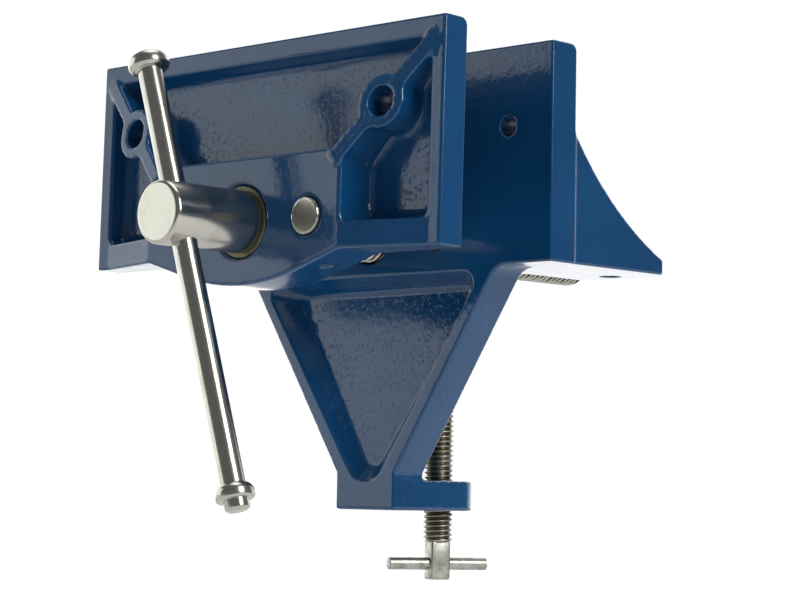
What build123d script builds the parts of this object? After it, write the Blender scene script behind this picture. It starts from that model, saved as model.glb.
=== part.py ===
from build123d import *
from math import cos, radians, sin
import os

# Clamp-on woodworking vise, millimetres.
# X runs along the jaws, Y from the operator to the bench, Z up.
# Y = 0 is the rear jaw's gripping face, Z = 0 the plane of the bench top, X = 0 the screw.

# Rear jaw casting
JAW_WIDTH = 150.0
JAW_HEIGHT = 66.0
JAW_TOP_ROUND = 2.6
REAR_JAW_THICKNESS = 11.2
REAR_END_STEP = 0.4
SEAT_DEPTH = 60.0
SEAT_THICKNESS = 4.5
SEAT_CORNER_RADIUS = 9.0
WEB_THICKNESS = 6.6
WEB_TOP = 40.0
WEB_TOE = 5.5
WEB_HOLLOW = 3.6
TUNNEL_HALF_WIDTH = 40.0
TUNNEL_WALL = 5.0
TUNNEL_HEADROOM = 1.0
GUIDE_BLOCK_REAR = 30.0
SEAT_SCREW_HOLE_RADIUS = 3.0
SEAT_SCREW_SPACING = 112.4
SEAT_SCREW_INSET = 9.0
REAR_CHEEK_SPACING = 115.0
REAR_CHEEK_HEIGHT = 41.6
CHEEK_HOLE_RADIUS = 3.15

# Clamp leg and foot, part of the rear casting
LEG_THICKNESS = 13.3
LEG_TOP_HALF_WIDTH = 53.4
LEG_TAPER_END = 62.7
LEG_ROOT_RADIUS = 8.0
LEG_RIM = 5.4
LEG_RECESS_TOP = 1.2
LEG_RECESS_STEEPNESS = 1.04
LEG_RECESS_CORNER = 4.2
LEG_RECESS_POINT_RADIUS = 8.4
LEG_RECESS_DEPTH = 8.5
LEG_FLOOR_DEPTH_AT_FOOT = 3.6
LEG_FLOOR_TOP_INSET = 3.6
LEG_FLOOR_SIDE_INSET = 8.7
LEG_FLOOR_POINT_INSET = 7.2
LEG_FLOOR_CORNER = 2.4
LEG_FLOOR_POINT_RADIUS = 5.4
FOOT_HALF_WIDTH = 12.7
FOOT_BOTTOM = 74.3
FOOT_THICKNESS = 9.5
FOOT_END_RADIUS = 10.7
FOOT_ROOT_RADIUS = 4.0
CLAMP_AXIS = 34.0

# Front jaw casting
REST_GAP = 38.8
FRONT_JAW_HEIGHT = 66.6
TOE_IN = 1.1
FRONT_RIM = 9.4
FRONT_FLOOR = 3.6
FRONT_SIDE_RIM = 5.1
FRONT_TOP_RIM = 6.0
FRONT_BOTTOM = 0.6
BOTTOM_FLANGE = 8.0
RECESS_DRAFT = 2.2
RECESS_CORNER = 3.0
RECESS_FLOOR_CORNER = 1.8
BOSS_HALF_WIDTH = 42.0
BOSS_TOP = 30.0
BOSS_PROUD = 7.3
BELLY_HALF_WIDTH = 24.0
BELLY_RADIUS = 84.0
BELLY_DROP = 8.3
RIB_WIDTH = 5.2
RIB_NECK_RADIUS = 3.0
RIB_BURIED_SHARE = 0.3
FRONT_CHEEK_SPACING = 108.0
FRONT_CHEEK_HEIGHT = 42.6
CHEEK_BOSS_RADIUS = 8.0
CHEEK_COUNTERBORE_RADIUS = 4.4
CHEEK_SEAT = 4.0

# Main screw, its nut, washer and collar
SCREW_HEIGHT = 11.1
SCREW_RADIUS = 7.94
SCREW_TAIL = 100.0
HEAD_RADIUS = 9.5
HEAD_FRONT = 87.8
HEAD_CHAMFER = 1.4
HEAD_RECESS_RADIUS = 11.2
HEAD_RECESS_DEPTH = 2.4
WASHER_THICKNESS = 2.0
WASHER_MARGIN = 0.3
COLLAR_RADIUS = 12.5
COLLAR_THICKNESS = 6.0
COLLAR_RECESS_RADIUS = 13.5
COLLAR_RECESS_DEPTH = 7.0
COLLAR_PIN_RADIUS = 1.5
NUT_WIDTH = 28.0
NUT_HEIGHT = 21.0
NUT_LENGTH = 14.0
NUT_SETBACK = 1.0
NUT_CHAMFER = 0.8
COLLAR_CHAMFER = 0.4

# Guide rods
ROD_RADIUS = 5.555
ROD_SPACING = 57.2
ROD_PROUD = 0.8
ROD_TAIL = 92.0
ROD_CHAMFER = 0.5
ROD_PIN_RADIUS = 1.5
ROD_PIN_TOP = 18.0
ROD_PIN_BOTTOM = -2.2

# Handle bar: a ball pressed on its upper end, a riveted collar on its lower end
BAR_RADIUS = 3.7
BAR_SETBACK = 8.4
BAR_TILT = 18.4
BAR_UP = 46.2
BAR_DOWN = 82.6
BALL_KNOB_WALL = 2.5
BALL_KNOB_LENGTH = 6.1
BALL_KNOB_SOCKET = 4.4
BALL_KNOB_LIP = 0.8
BALL_KNOB_CROWN = 0.6
BALL_KNOB_ROUND = 2.9
RIVET_KNOB_WALL = 2.0
RIVET_KNOB_LENGTH = 4.7
RIVET_KNOB_LIP = 0.5
RIVET_KNOB_ROUND = 2.6
RIVET_KNOB_EDGE = 0.6
RIVET_LENGTH = 3.3
RIVET_CHAMFER = 0.8

# Clamp screw, cross bar and pad
CLAMP_RADIUS = 4.7625
CLAMP_CHAMFER = 0.6
CLAMP_THREAD_BOTTOM = -84.5
CLAMP_END = -96.4
SHANK_SQUARE = 6.6
TBAR_TURN = 26.0
TBAR_HEIGHT = -91.3
TBAR_RADIUS = 2.0
TBAR_LENGTH = 34.0
TBAR_CHAMFER = 0.5
PAD_TOP = -26.0
PAD_THICKNESS = 8.0
PAD_RADIUS = 10.0
PAD_BASE_RADIUS = 6.5
PAD_RIM = 3.0
BALL_RADIUS = 3.4
BALL_RISE = 2.0
NECK_RADIUS = 2.4
PAD_GAP = 1.2

# Clearances, radial unless they are named otherwise
RUNNING_FIT = 0.05
SCREW_CLEARANCE = 0.4
THREAD_FIT = 0.05
DRIVE_FIT = 0.02
BAR_FIT = 0.08
BALL_FIT = 0.05
NUT_CLEARANCE = 0.2
END_PLAY = 0.1

# How far cutters pass beyond the face they break through
OVERSHOOT = 1.0

# Places worked out from the sizes above
half_width = JAW_WIDTH / 2
seat_half = half_width - REAR_END_STEP
boss_face = FRONT_RIM + BOSS_PROUD
boss_front = REST_GAP + boss_face
foot_top = -FOOT_BOTTOM + FOOT_THICKNESS
tunnel_height = SCREW_HEIGHT + SCREW_RADIUS + TUNNEL_HEADROOM
rod_x = ROD_SPACING / 2
nut_front = LEG_THICKNESS + NUT_SETBACK
nut_back = nut_front + NUT_LENGTH
leg_slope = (LEG_TOP_HALF_WIDTH - FOOT_HALF_WIDTH) / LEG_TAPER_END
pad_bottom = PAD_TOP - PAD_THICKNESS
ball_height = pad_bottom + BALL_RISE

# The front jaw leans: its own frame has +Y up the jaw and +Z out of the front
jaw_frame = Plane(
    origin=(0, -REST_GAP, 0),
    x_dir=(1, 0, 0),
    z_dir=(0, -cos(radians(TOE_IN)), sin(radians(TOE_IN))),
)

# The handle bar's frame has +Y up the bar and +Z towards the operator
bar_y = -(HEAD_FRONT - BAR_SETBACK)
bar_frame = Plane(
    origin=(0, bar_y, SCREW_HEIGHT),
    x_dir=(cos(radians(BAR_TILT)), 0, sin(radians(BAR_TILT))),
    z_dir=(0, -1, 0),
)
bar_axis = Axis(bar_frame.origin, bar_frame.y_dir)
bar_section = Plane(origin=bar_frame.origin, z_dir=bar_frame.y_dir)

# The clamp's cross bar lies across the squared end, turned from the vise's own axes
tbar_section = Plane(
    origin=(0, CLAMP_AXIS, TBAR_HEIGHT),
    z_dir=(sin(radians(TBAR_TURN)), cos(radians(TBAR_TURN)), 0),
)


def facing(y):
    """A sketch plane facing the operator at a given Y, with local Y pointing up."""
    return Plane.XZ.offset(-y)


def save(piece, name):
    piece.part.label = name
    export_step(piece.part, f"parts/{name}.step")


os.makedirs("parts", exist_ok=True)

# Hollow in the front of the leg: a triangle that gets shallower towards the foot
recess_half = LEG_TOP_HALF_WIDTH - LEG_RIM
recess_point = -(LEG_RECESS_TOP + recess_half / (leg_slope * LEG_RECESS_STEEPNESS))
floor_top = -(LEG_RECESS_TOP + LEG_FLOOR_TOP_INSET)
floor_half = recess_half - LEG_FLOOR_SIDE_INSET
floor_point = recess_point + LEG_FLOOR_POINT_INSET
floor_fall = LEG_RECESS_DEPTH - LEG_FLOOR_DEPTH_AT_FOOT
floor_frame = Plane(
    origin=(0, LEG_RECESS_DEPTH, floor_top),
    x_dir=(1, 0, 0),
    z_dir=(0, floor_point - floor_top, floor_fall),
)
with BuildPart() as leg_recess:
    with BuildSketch(Plane.XZ):
        with BuildLine():
            Polyline(
                (-recess_half, -LEG_RECESS_TOP),
                (recess_half, -LEG_RECESS_TOP),
                (0, recess_point),
                close=True,
            )
        make_face()
        fillet(vertices().group_by(Axis.Y)[-1], LEG_RECESS_CORNER)
        fillet(vertices().sort_by(Axis.Y)[0], LEG_RECESS_POINT_RADIUS)
    with BuildSketch(floor_frame):
        with BuildLine():
            Polyline((-floor_half, 0), (floor_half, 0), (0, floor_point - floor_top), close=True)
        make_face()
        fillet(vertices().group_by(Axis.Y)[-1], LEG_FLOOR_CORNER)
        fillet(vertices().sort_by(Axis.Y)[0], LEG_FLOOR_POINT_RADIUS)
    loft(ruled=True)


# Rear casting: jaw plate, end webs, seat flanges, screw tunnel, leg and foot in one piece
with BuildPart() as fixed_jaw_casting:
    with BuildSketch(Plane.XZ):
        with Locations((0, JAW_HEIGHT / 2)):
            Rectangle(JAW_WIDTH, JAW_HEIGHT)
    extrude(amount=-REAR_JAW_THICKNESS)
    fillet(edges().filter_by(Axis.X).group_by(Axis.Z)[-1].sort_by(Axis.Y)[-1], JAW_TOP_ROUND)
    with BuildSketch(Plane.XZ):
        with BuildLine():
            Polyline(
                (-seat_half, SEAT_THICKNESS),
                (-seat_half, 0),
                (-LEG_TOP_HALF_WIDTH, 0),
                (-FOOT_HALF_WIDTH, -LEG_TAPER_END),
                (-FOOT_HALF_WIDTH, -FOOT_BOTTOM),
                (FOOT_HALF_WIDTH, -FOOT_BOTTOM),
                (FOOT_HALF_WIDTH, -LEG_TAPER_END),
                (LEG_TOP_HALF_WIDTH, 0),
                (seat_half, 0),
                (seat_half, SEAT_THICKNESS),
                close=True,
            )
        make_face()
        roots = vertices().filter_by(lambda v: abs(abs(v.X) - LEG_TOP_HALF_WIDTH) < 1e-3)
        fillet(roots, LEG_ROOT_RADIUS)
    extrude(amount=-LEG_THICKNESS)
    # Two seat flanges with rounded outer corners, a small step in from the jaw's ends
    with BuildSketch(Plane.XY):
        with Locations((0, (SEAT_DEPTH + REAR_JAW_THICKNESS / 2) / 2)):
            Rectangle(2 * seat_half, SEAT_DEPTH - REAR_JAW_THICKNESS / 2)
        fillet(vertices().group_by(Axis.Y)[-1], SEAT_CORNER_RADIUS)
        with Locations((0, SEAT_DEPTH / 2 + LEG_THICKNESS)):
            Rectangle(2 * TUNNEL_HALF_WIDTH, SEAT_DEPTH, mode=Mode.SUBTRACT)
    extrude(amount=SEAT_THICKNESS)
    # Tunnel over the screw and rods
    with BuildSketch(facing(SEAT_DEPTH)):
        with Locations((0, (tunnel_height + TUNNEL_WALL) / 2)):
            Rectangle(2 * (TUNNEL_HALF_WIDTH + TUNNEL_WALL), tunnel_height + TUNNEL_WALL)
        fillet(vertices().group_by(Axis.Y)[-1], TUNNEL_WALL)
        with Locations((0, tunnel_height / 2)):
            Rectangle(2 * TUNNEL_HALF_WIDTH, tunnel_height, mode=Mode.SUBTRACT)
    extrude(amount=SEAT_DEPTH - REAR_JAW_THICKNESS / 2)
    # Guide block that the rods slide in
    with BuildSketch(facing(GUIDE_BLOCK_REAR)):
        with Locations((0, tunnel_height / 2)):
            Rectangle(2 * TUNNEL_HALF_WIDTH, tunnel_height)
    extrude(amount=GUIDE_BLOCK_REAR - REAR_JAW_THICKNESS / 2)
    # End webs: concave edge from high on the jaw to the flange's toe
    for side in (-1, 1):
        inner_face = Plane.YZ.offset(side * (seat_half - WEB_THICKNESS / 2) - WEB_THICKNESS / 2)
        web_end = SEAT_DEPTH - WEB_TOE
        with BuildSketch(inner_face):
            with BuildLine():
                start = (REAR_JAW_THICKNESS, WEB_TOP)
                end = (web_end, SEAT_THICKNESS)
                SagittaArc(start, end, -WEB_HOLLOW)
                Polyline(
                    end,
                    (web_end, 0),
                    (REAR_JAW_THICKNESS / 2, 0),
                    (REAR_JAW_THICKNESS / 2, WEB_TOP),
                    start,
                )
            make_face()
        extrude(amount=WEB_THICKNESS)
    # Foot under the bench: a tapered lug round the clamp screw
    with BuildSketch(Plane.XY.offset(-FOOT_BOTTOM)) as foot_outline:
        with BuildLine():
            Polyline(
                (-FOOT_END_RADIUS, CLAMP_AXIS),
                (-FOOT_HALF_WIDTH, LEG_THICKNESS),
                (-FOOT_HALF_WIDTH, LEG_THICKNESS / 2),
                (FOOT_HALF_WIDTH, LEG_THICKNESS / 2),
                (FOOT_HALF_WIDTH, LEG_THICKNESS),
                (FOOT_END_RADIUS, CLAMP_AXIS),
            )
            ThreePointArc(
                (FOOT_END_RADIUS, CLAMP_AXIS),
                (0, CLAMP_AXIS + FOOT_END_RADIUS),
                (-FOOT_END_RADIUS, CLAMP_AXIS),
            )
        make_face()
    extrude(amount=FOOT_THICKNESS)
    # Fillet between the back of the leg and the top of the foot
    with BuildSketch(Plane.YZ.offset(-FOOT_END_RADIUS)):
        with BuildLine():
            root_end = (LEG_THICKNESS + FOOT_ROOT_RADIUS, foot_top)
            root_start = (LEG_THICKNESS, foot_top + FOOT_ROOT_RADIUS)
            RadiusArc(root_start, root_end, -FOOT_ROOT_RADIUS)
            Polyline(root_end, (LEG_THICKNESS / 2, foot_top), (LEG_THICKNESS / 2, root_start[1]), root_start)
        make_face()
    extrude(amount=2 * FOOT_END_RADIUS)
    add(leg_recess.part, mode=Mode.SUBTRACT)
    # Screw and rod bores, nut pocket open underneath
    with BuildSketch(facing(GUIDE_BLOCK_REAR + OVERSHOOT)):
        with Locations((0, SCREW_HEIGHT)):
            Circle(SCREW_RADIUS + SCREW_CLEARANCE)
        with Locations((-rod_x, SCREW_HEIGHT), (rod_x, SCREW_HEIGHT)):
            Circle(ROD_RADIUS + RUNNING_FIT)
    extrude(amount=GUIDE_BLOCK_REAR + 2 * OVERSHOOT, mode=Mode.SUBTRACT)
    with BuildSketch(facing(nut_back + NUT_CLEARANCE)):
        pocket_top = SCREW_HEIGHT + NUT_HEIGHT / 2 + NUT_CLEARANCE
        with Locations((0, (pocket_top - OVERSHOOT) / 2)):
            Rectangle(NUT_WIDTH + 2 * NUT_CLEARANCE, pocket_top + OVERSHOOT)
    extrude(amount=NUT_LENGTH + 2 * NUT_CLEARANCE, mode=Mode.SUBTRACT)
    # Wood-screw holes in the seat flanges and the jaw
    with BuildSketch(Plane.XY.offset(-OVERSHOOT)):
        with Locations(
            (-SEAT_SCREW_SPACING / 2, SEAT_DEPTH - SEAT_SCREW_INSET),
            (SEAT_SCREW_SPACING / 2, SEAT_DEPTH - SEAT_SCREW_INSET),
        ):
            Circle(SEAT_SCREW_HOLE_RADIUS)
    extrude(amount=SEAT_THICKNESS + 2 * OVERSHOOT, mode=Mode.SUBTRACT)
    with BuildSketch(facing(REAR_JAW_THICKNESS + OVERSHOOT)):
        with Locations(
            (-REAR_CHEEK_SPACING / 2, REAR_CHEEK_HEIGHT),
            (REAR_CHEEK_SPACING / 2, REAR_CHEEK_HEIGHT),
        ):
            Circle(CHEEK_HOLE_RADIUS)
    extrude(amount=REAR_JAW_THICKNESS + 2 * OVERSHOOT, mode=Mode.SUBTRACT)
    # Tapped hole for the clamp screw
    with BuildSketch(Plane.XY.offset(-FOOT_BOTTOM - OVERSHOOT)):
        with Locations((0, CLAMP_AXIS)):
            Circle(CLAMP_RADIUS + THREAD_FIT)
    extrude(amount=FOOT_THICKNESS + 2 * OVERSHOOT, mode=Mode.SUBTRACT)
save(fixed_jaw_casting, "fixed_jaw_casting")

# Square nut, slipped into its pocket from below and held there by the screw
with BuildPart() as main_nut:
    with BuildSketch(facing(nut_back)):
        with Locations((0, SCREW_HEIGHT)):
            Rectangle(NUT_WIDTH, NUT_HEIGHT)
    extrude(amount=NUT_LENGTH)
    chamfer(edges().filter_by(Axis.Y), NUT_CHAMFER)
    with BuildSketch(facing(nut_back)):
        with Locations((0, SCREW_HEIGHT)):
            Circle(SCREW_RADIUS + THREAD_FIT)
    extrude(amount=NUT_LENGTH, mode=Mode.SUBTRACT)
save(main_nut, "main_nut")

# One diagonal rib of the front jaw with its screw boss, planed along a ramp from boss to rim
cheek_x = FRONT_CHEEK_SPACING / 2
rib_run = cheek_x - BOSS_HALF_WIDTH
rib_rise = FRONT_CHEEK_HEIGHT - BOSS_TOP
rib_reach = (half_width - FRONT_SIDE_RIM / 2 - BOSS_HALF_WIDTH) / rib_run
rib_step = Vector(rib_run, rib_rise)
rib_foot = Vector(BOSS_HALF_WIDTH, BOSS_TOP) - rib_step * RIB_BURIED_SHARE
rib_head = Vector(BOSS_HALF_WIDTH, BOSS_TOP) + rib_step * rib_reach
rib_middle = (rib_foot + rib_head) * 0.5
ramp_high = jaw_frame.from_local_coords((BOSS_HALF_WIDTH, BOSS_TOP, boss_face))
ramp_low = jaw_frame.from_local_coords((rib_head.X, rib_head.Y, FRONT_RIM))
ramp_side = jaw_frame.from_local_coords((BOSS_HALF_WIDTH - rib_rise, BOSS_TOP + rib_run, boss_face))
ramp = Plane(
    origin=ramp_high,
    x_dir=ramp_low - ramp_high,
    z_dir=(ramp_low - ramp_high).cross(ramp_side - ramp_high),
)
with BuildPart() as jaw_rib:
    with BuildSketch(jaw_frame.offset(FRONT_FLOOR / 2)):
        with Locations((rib_middle.X, rib_middle.Y)):
            Rectangle((rib_head - rib_foot).length, RIB_WIDTH, rotation=rib_step.get_angle(Vector(1, 0)))
        with Locations((cheek_x, FRONT_CHEEK_HEIGHT)):
            Circle(CHEEK_BOSS_RADIUS)
        necks = vertices().filter_by(
            lambda v: abs(Vector(v.X - cheek_x, v.Y - FRONT_CHEEK_HEIGHT).length - CHEEK_BOSS_RADIUS) < 0.01
        )
        fillet(necks, RIB_NECK_RADIUS)
    extrude(amount=boss_face)
    split(bisect_by=ramp, keep=Keep.BOTTOM)
    mirror(about=Plane.YZ)

# Front casting: thin panel with a raised rim, a thick lower boss, ramped flanges and ribs
recess_bottom = FRONT_BOTTOM + BOTTOM_FLANGE
recess_top = FRONT_JAW_HEIGHT - FRONT_TOP_RIM
recess_width = JAW_WIDTH - 2 * FRONT_SIDE_RIM
recess_height = recess_top - recess_bottom
jaw_underside = Plane(
    origin=jaw_frame.from_local_coords((0, FRONT_BOTTOM, 0)),
    x_dir=(1, 0, 0),
    z_dir=-jaw_frame.y_dir,
)
belly_edge = BELLY_RADIUS - BELLY_DROP - (BELLY_RADIUS**2 - BELLY_HALF_WIDTH**2) ** 0.5
with BuildPart() as moving_jaw_casting:
    with BuildSketch(jaw_frame):
        with Locations((0, (FRONT_BOTTOM + FRONT_JAW_HEIGHT) / 2)):
            Rectangle(JAW_WIDTH, FRONT_JAW_HEIGHT - FRONT_BOTTOM)
    extrude(amount=FRONT_RIM)
    fillet(edges().filter_by(Axis.X).sort_by(Axis.Z)[-2:].sort_by(Axis.Y)[-1], JAW_TOP_ROUND)
    # Recess with drafted walls
    with BuildSketch(jaw_frame.offset(FRONT_RIM)):
        with Locations((0, (recess_bottom + recess_top) / 2)):
            RectangleRounded(recess_width, recess_height, RECESS_CORNER)
    with BuildSketch(jaw_frame.offset(FRONT_FLOOR)):
        with Locations((0, (recess_bottom + recess_top) / 2)):
            RectangleRounded(
                recess_width - 2 * RECESS_DRAFT,
                recess_height - 2 * RECESS_DRAFT,
                RECESS_FLOOR_CORNER,
            )
    loft(ruled=True, mode=Mode.SUBTRACT)
    # Flanges along the bottom that rise from the rim to the boss
    with BuildSketch(jaw_underside):
        for side in (-1, 1):
            with BuildLine():
                Polyline(
                    (side * (BOSS_HALF_WIDTH - OVERSHOOT), FRONT_FLOOR / 2),
                    (side * (BOSS_HALF_WIDTH - OVERSHOOT), boss_face),
                    (side * BOSS_HALF_WIDTH, boss_face),
                    (side * (half_width - FRONT_SIDE_RIM), FRONT_RIM),
                    (side * (half_width - FRONT_SIDE_RIM), FRONT_FLOOR / 2),
                    close=True,
                )
            make_face()
    extrude(amount=-BOTTOM_FLANGE)
    # Boss with its belly below the screw
    with BuildSketch(jaw_frame):
        with BuildLine():
            ThreePointArc(
                (-BELLY_HALF_WIDTH, belly_edge),
                (0, -BELLY_DROP),
                (BELLY_HALF_WIDTH, belly_edge),
            )
            Polyline(
                (BELLY_HALF_WIDTH, belly_edge),
                (BOSS_HALF_WIDTH, FRONT_BOTTOM),
                (BOSS_HALF_WIDTH, BOSS_TOP),
                (-BOSS_HALF_WIDTH, BOSS_TOP),
                (-BOSS_HALF_WIDTH, FRONT_BOTTOM),
                (-BELLY_HALF_WIDTH, belly_edge),
            )
        make_face()
    extrude(amount=boss_face)
    add(jaw_rib.part)
    # Cheek-screw holes, counterbored from the front
    with BuildSketch(jaw_frame.offset(-OVERSHOOT)):
        with Locations((-cheek_x, FRONT_CHEEK_HEIGHT), (cheek_x, FRONT_CHEEK_HEIGHT)):
            Circle(CHEEK_HOLE_RADIUS)
    extrude(amount=boss_face + 2 * OVERSHOOT, mode=Mode.SUBTRACT)
    with BuildSketch(jaw_frame.offset(CHEEK_SEAT)):
        with Locations((-cheek_x, FRONT_CHEEK_HEIGHT), (cheek_x, FRONT_CHEEK_HEIGHT)):
            Circle(CHEEK_COUNTERBORE_RADIUS)
    extrude(amount=boss_face, mode=Mode.SUBTRACT)
    # Screw hole with its front recess for the head and rear recess for the collar
    with BuildSketch(facing(-REST_GAP + COLLAR_RECESS_DEPTH)):
        with Locations((0, SCREW_HEIGHT)):
            Circle(SCREW_RADIUS + RUNNING_FIT)
        with Locations((-rod_x, SCREW_HEIGHT), (rod_x, SCREW_HEIGHT)):
            Circle(ROD_RADIUS + DRIVE_FIT)
    extrude(amount=boss_face + 2 * COLLAR_RECESS_DEPTH, mode=Mode.SUBTRACT)
    with BuildSketch(facing(-boss_front + HEAD_RECESS_DEPTH)):
        with Locations((0, SCREW_HEIGHT)):
            Circle(HEAD_RECESS_RADIUS)
    extrude(amount=2 * HEAD_RECESS_DEPTH, mode=Mode.SUBTRACT)
    with BuildSketch(facing(-REST_GAP + COLLAR_RECESS_DEPTH)):
        with Locations((0, SCREW_HEIGHT)):
            Circle(COLLAR_RECESS_RADIUS)
    extrude(amount=2 * COLLAR_RECESS_DEPTH, mode=Mode.SUBTRACT)
    # Blind holes from below for the rod pins
    rod_pin_y = -(REST_GAP + boss_face / 2)
    with BuildSketch(Plane.XY.offset(-2 * BELLY_DROP)):
        with Locations((-rod_x, rod_pin_y), (rod_x, rod_pin_y)):
            Circle(ROD_PIN_RADIUS + DRIVE_FIT)
    extrude(amount=ROD_PIN_TOP + END_PLAY + 2 * BELLY_DROP, mode=Mode.SUBTRACT)
save(moving_jaw_casting, "moving_jaw_casting")

# Slide rods, driven into the front jaw and cross-pinned
for side, name in ((-1, "left"), (1, "right")):
    with BuildPart() as guide_rod:
        with BuildSketch(facing(ROD_TAIL)):
            with Locations((side * rod_x, SCREW_HEIGHT)):
                Circle(ROD_RADIUS)
        extrude(amount=ROD_TAIL + boss_front + ROD_PROUD)
        chamfer(edges().filter_by(GeomType.CIRCLE), ROD_CHAMFER)
        with BuildSketch(Plane.XY):
            with Locations((side * rod_x, rod_pin_y)):
                Circle(ROD_PIN_RADIUS + DRIVE_FIT)
        extrude(amount=ROD_PIN_TOP + OVERSHOOT, mode=Mode.SUBTRACT)
    save(guide_rod, f"guide_rod_{name}")
    with BuildPart() as rod_pin:
        with BuildSketch(Plane.XY.offset(ROD_PIN_BOTTOM)):
            with Locations((side * rod_x, rod_pin_y)):
                Circle(ROD_PIN_RADIUS)
        extrude(amount=ROD_PIN_TOP - ROD_PIN_BOTTOM)
    save(rod_pin, f"rod_pin_{name}")

# Bronze washer in the recess under the screw's head
washer_back = -boss_front + HEAD_RECESS_DEPTH - DRIVE_FIT
with BuildPart() as thrust_washer:
    with BuildSketch(facing(washer_back)):
        with Locations((0, SCREW_HEIGHT)):
            Circle(HEAD_RECESS_RADIUS - WASHER_MARGIN)
            Circle(SCREW_RADIUS + RUNNING_FIT, mode=Mode.SUBTRACT)
    extrude(amount=WASHER_THICKNESS)
save(thrust_washer, "thrust_washer")

# Main screw: plain turned head with a cross hole, shank behind
head_back = washer_back - WASHER_THICKNESS - DRIVE_FIT
collar_back = -(REST_GAP + COLLAR_RECESS_DEPTH) + END_PLAY + COLLAR_THICKNESS
collar_middle = collar_back - COLLAR_THICKNESS / 2
with BuildPart() as main_screw:
    with BuildSketch(facing(SCREW_TAIL)):
        with Locations((0, SCREW_HEIGHT)):
            Circle(SCREW_RADIUS)
    extrude(amount=SCREW_TAIL - head_back)
    chamfer(edges().sort_by(Axis.Y)[-1], HEAD_CHAMFER)
    with BuildSketch(facing(head_back)):
        with Locations((0, SCREW_HEIGHT)):
            Circle(HEAD_RADIUS)
    extrude(amount=HEAD_FRONT + head_back)
    fillet(edges().sort_by(Axis.Y)[0], HEAD_CHAMFER)
    with BuildSketch(bar_section.offset(-2 * HEAD_RADIUS)):
        Circle(BAR_RADIUS + BAR_FIT)
    extrude(amount=4 * HEAD_RADIUS, mode=Mode.SUBTRACT)
    with BuildSketch(Plane.YZ.offset(-SCREW_RADIUS - OVERSHOOT)):
        with Locations((collar_middle, SCREW_HEIGHT)):
            Circle(COLLAR_PIN_RADIUS + DRIVE_FIT)
    extrude(amount=2 * (SCREW_RADIUS + OVERSHOOT), mode=Mode.SUBTRACT)
save(main_screw, "main_screw")

# Collar pinned on the screw behind the front jaw, so that the screw also pulls the jaw open
with BuildPart() as retaining_collar:
    with BuildSketch(facing(collar_back)):
        with Locations((0, SCREW_HEIGHT)):
            Circle(COLLAR_RADIUS)
            Circle(SCREW_RADIUS + DRIVE_FIT, mode=Mode.SUBTRACT)
    extrude(amount=COLLAR_THICKNESS)
    chamfer(edges().filter_by(GeomType.CIRCLE).group_by(SortBy.RADIUS)[-1], COLLAR_CHAMFER)
    with BuildSketch(Plane.YZ.offset(-COLLAR_RADIUS - OVERSHOOT)):
        with Locations((collar_middle, SCREW_HEIGHT)):
            Circle(COLLAR_PIN_RADIUS + DRIVE_FIT)
    extrude(amount=2 * (COLLAR_RADIUS + OVERSHOOT), mode=Mode.SUBTRACT)
save(retaining_collar, "retaining_collar")

with BuildPart() as collar_pin:
    with BuildSketch(Plane.YZ.offset(-COLLAR_RADIUS + COLLAR_PIN_RADIUS / 2)):
        with Locations((collar_middle, SCREW_HEIGHT)):
            Circle(COLLAR_PIN_RADIUS)
    extrude(amount=2 * COLLAR_RADIUS - COLLAR_PIN_RADIUS)
save(collar_pin, "collar_pin")

# Handle bar, sliding in the head, riveted over below its lower collar
bar_bottom = -(BAR_DOWN + RIVET_KNOB_LENGTH + RIVET_LENGTH)
bar_top = BAR_UP + BALL_KNOB_SOCKET
with BuildPart() as tommy_bar:
    with BuildSketch(bar_section.offset(bar_bottom)):
        Circle(BAR_RADIUS)
    extrude(amount=bar_top - bar_bottom)
    chamfer(edges().sort_by(Axis.Z)[0], RIVET_CHAMFER)
save(tommy_bar, "tommy_bar")

# Ball on the upper end: a rounded ring with a slightly crowned, closed top
ball_radius = BAR_RADIUS + BALL_KNOB_WALL
ball_lip = BAR_RADIUS + BALL_KNOB_LIP
ball_under = ball_radius - ball_lip
ball_shoulder = BAR_UP + BALL_KNOB_LENGTH - BALL_KNOB_CROWN
ball_rim = ball_radius - BALL_KNOB_ROUND
with BuildPart() as tommy_bar_knob_upper:
    with BuildSketch(bar_frame):
        with BuildLine():
            Polyline(
                (0, bar_top + DRIVE_FIT),
                (BAR_RADIUS + DRIVE_FIT, bar_top + DRIVE_FIT),
                (BAR_RADIUS + DRIVE_FIT, BAR_UP),
                (ball_lip, BAR_UP),
            )
            under = RadiusArc((ball_lip, BAR_UP), (ball_radius, BAR_UP + ball_under), -ball_under)
            side = Line(under @ 1, (ball_radius, ball_shoulder - BALL_KNOB_ROUND))
            RadiusArc(side @ 1, (ball_rim, ball_shoulder), -BALL_KNOB_ROUND)
            crown_radius = (ball_rim**2 + BALL_KNOB_CROWN**2) / (2 * BALL_KNOB_CROWN)
            RadiusArc((ball_rim, ball_shoulder), (0, ball_shoulder + BALL_KNOB_CROWN), -crown_radius)
            Line((0, ball_shoulder + BALL_KNOB_CROWN), (0, bar_top + DRIVE_FIT))
        make_face()
    revolve(axis=bar_axis)
save(tommy_bar_knob_upper, "tommy_bar_knob_upper")

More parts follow.
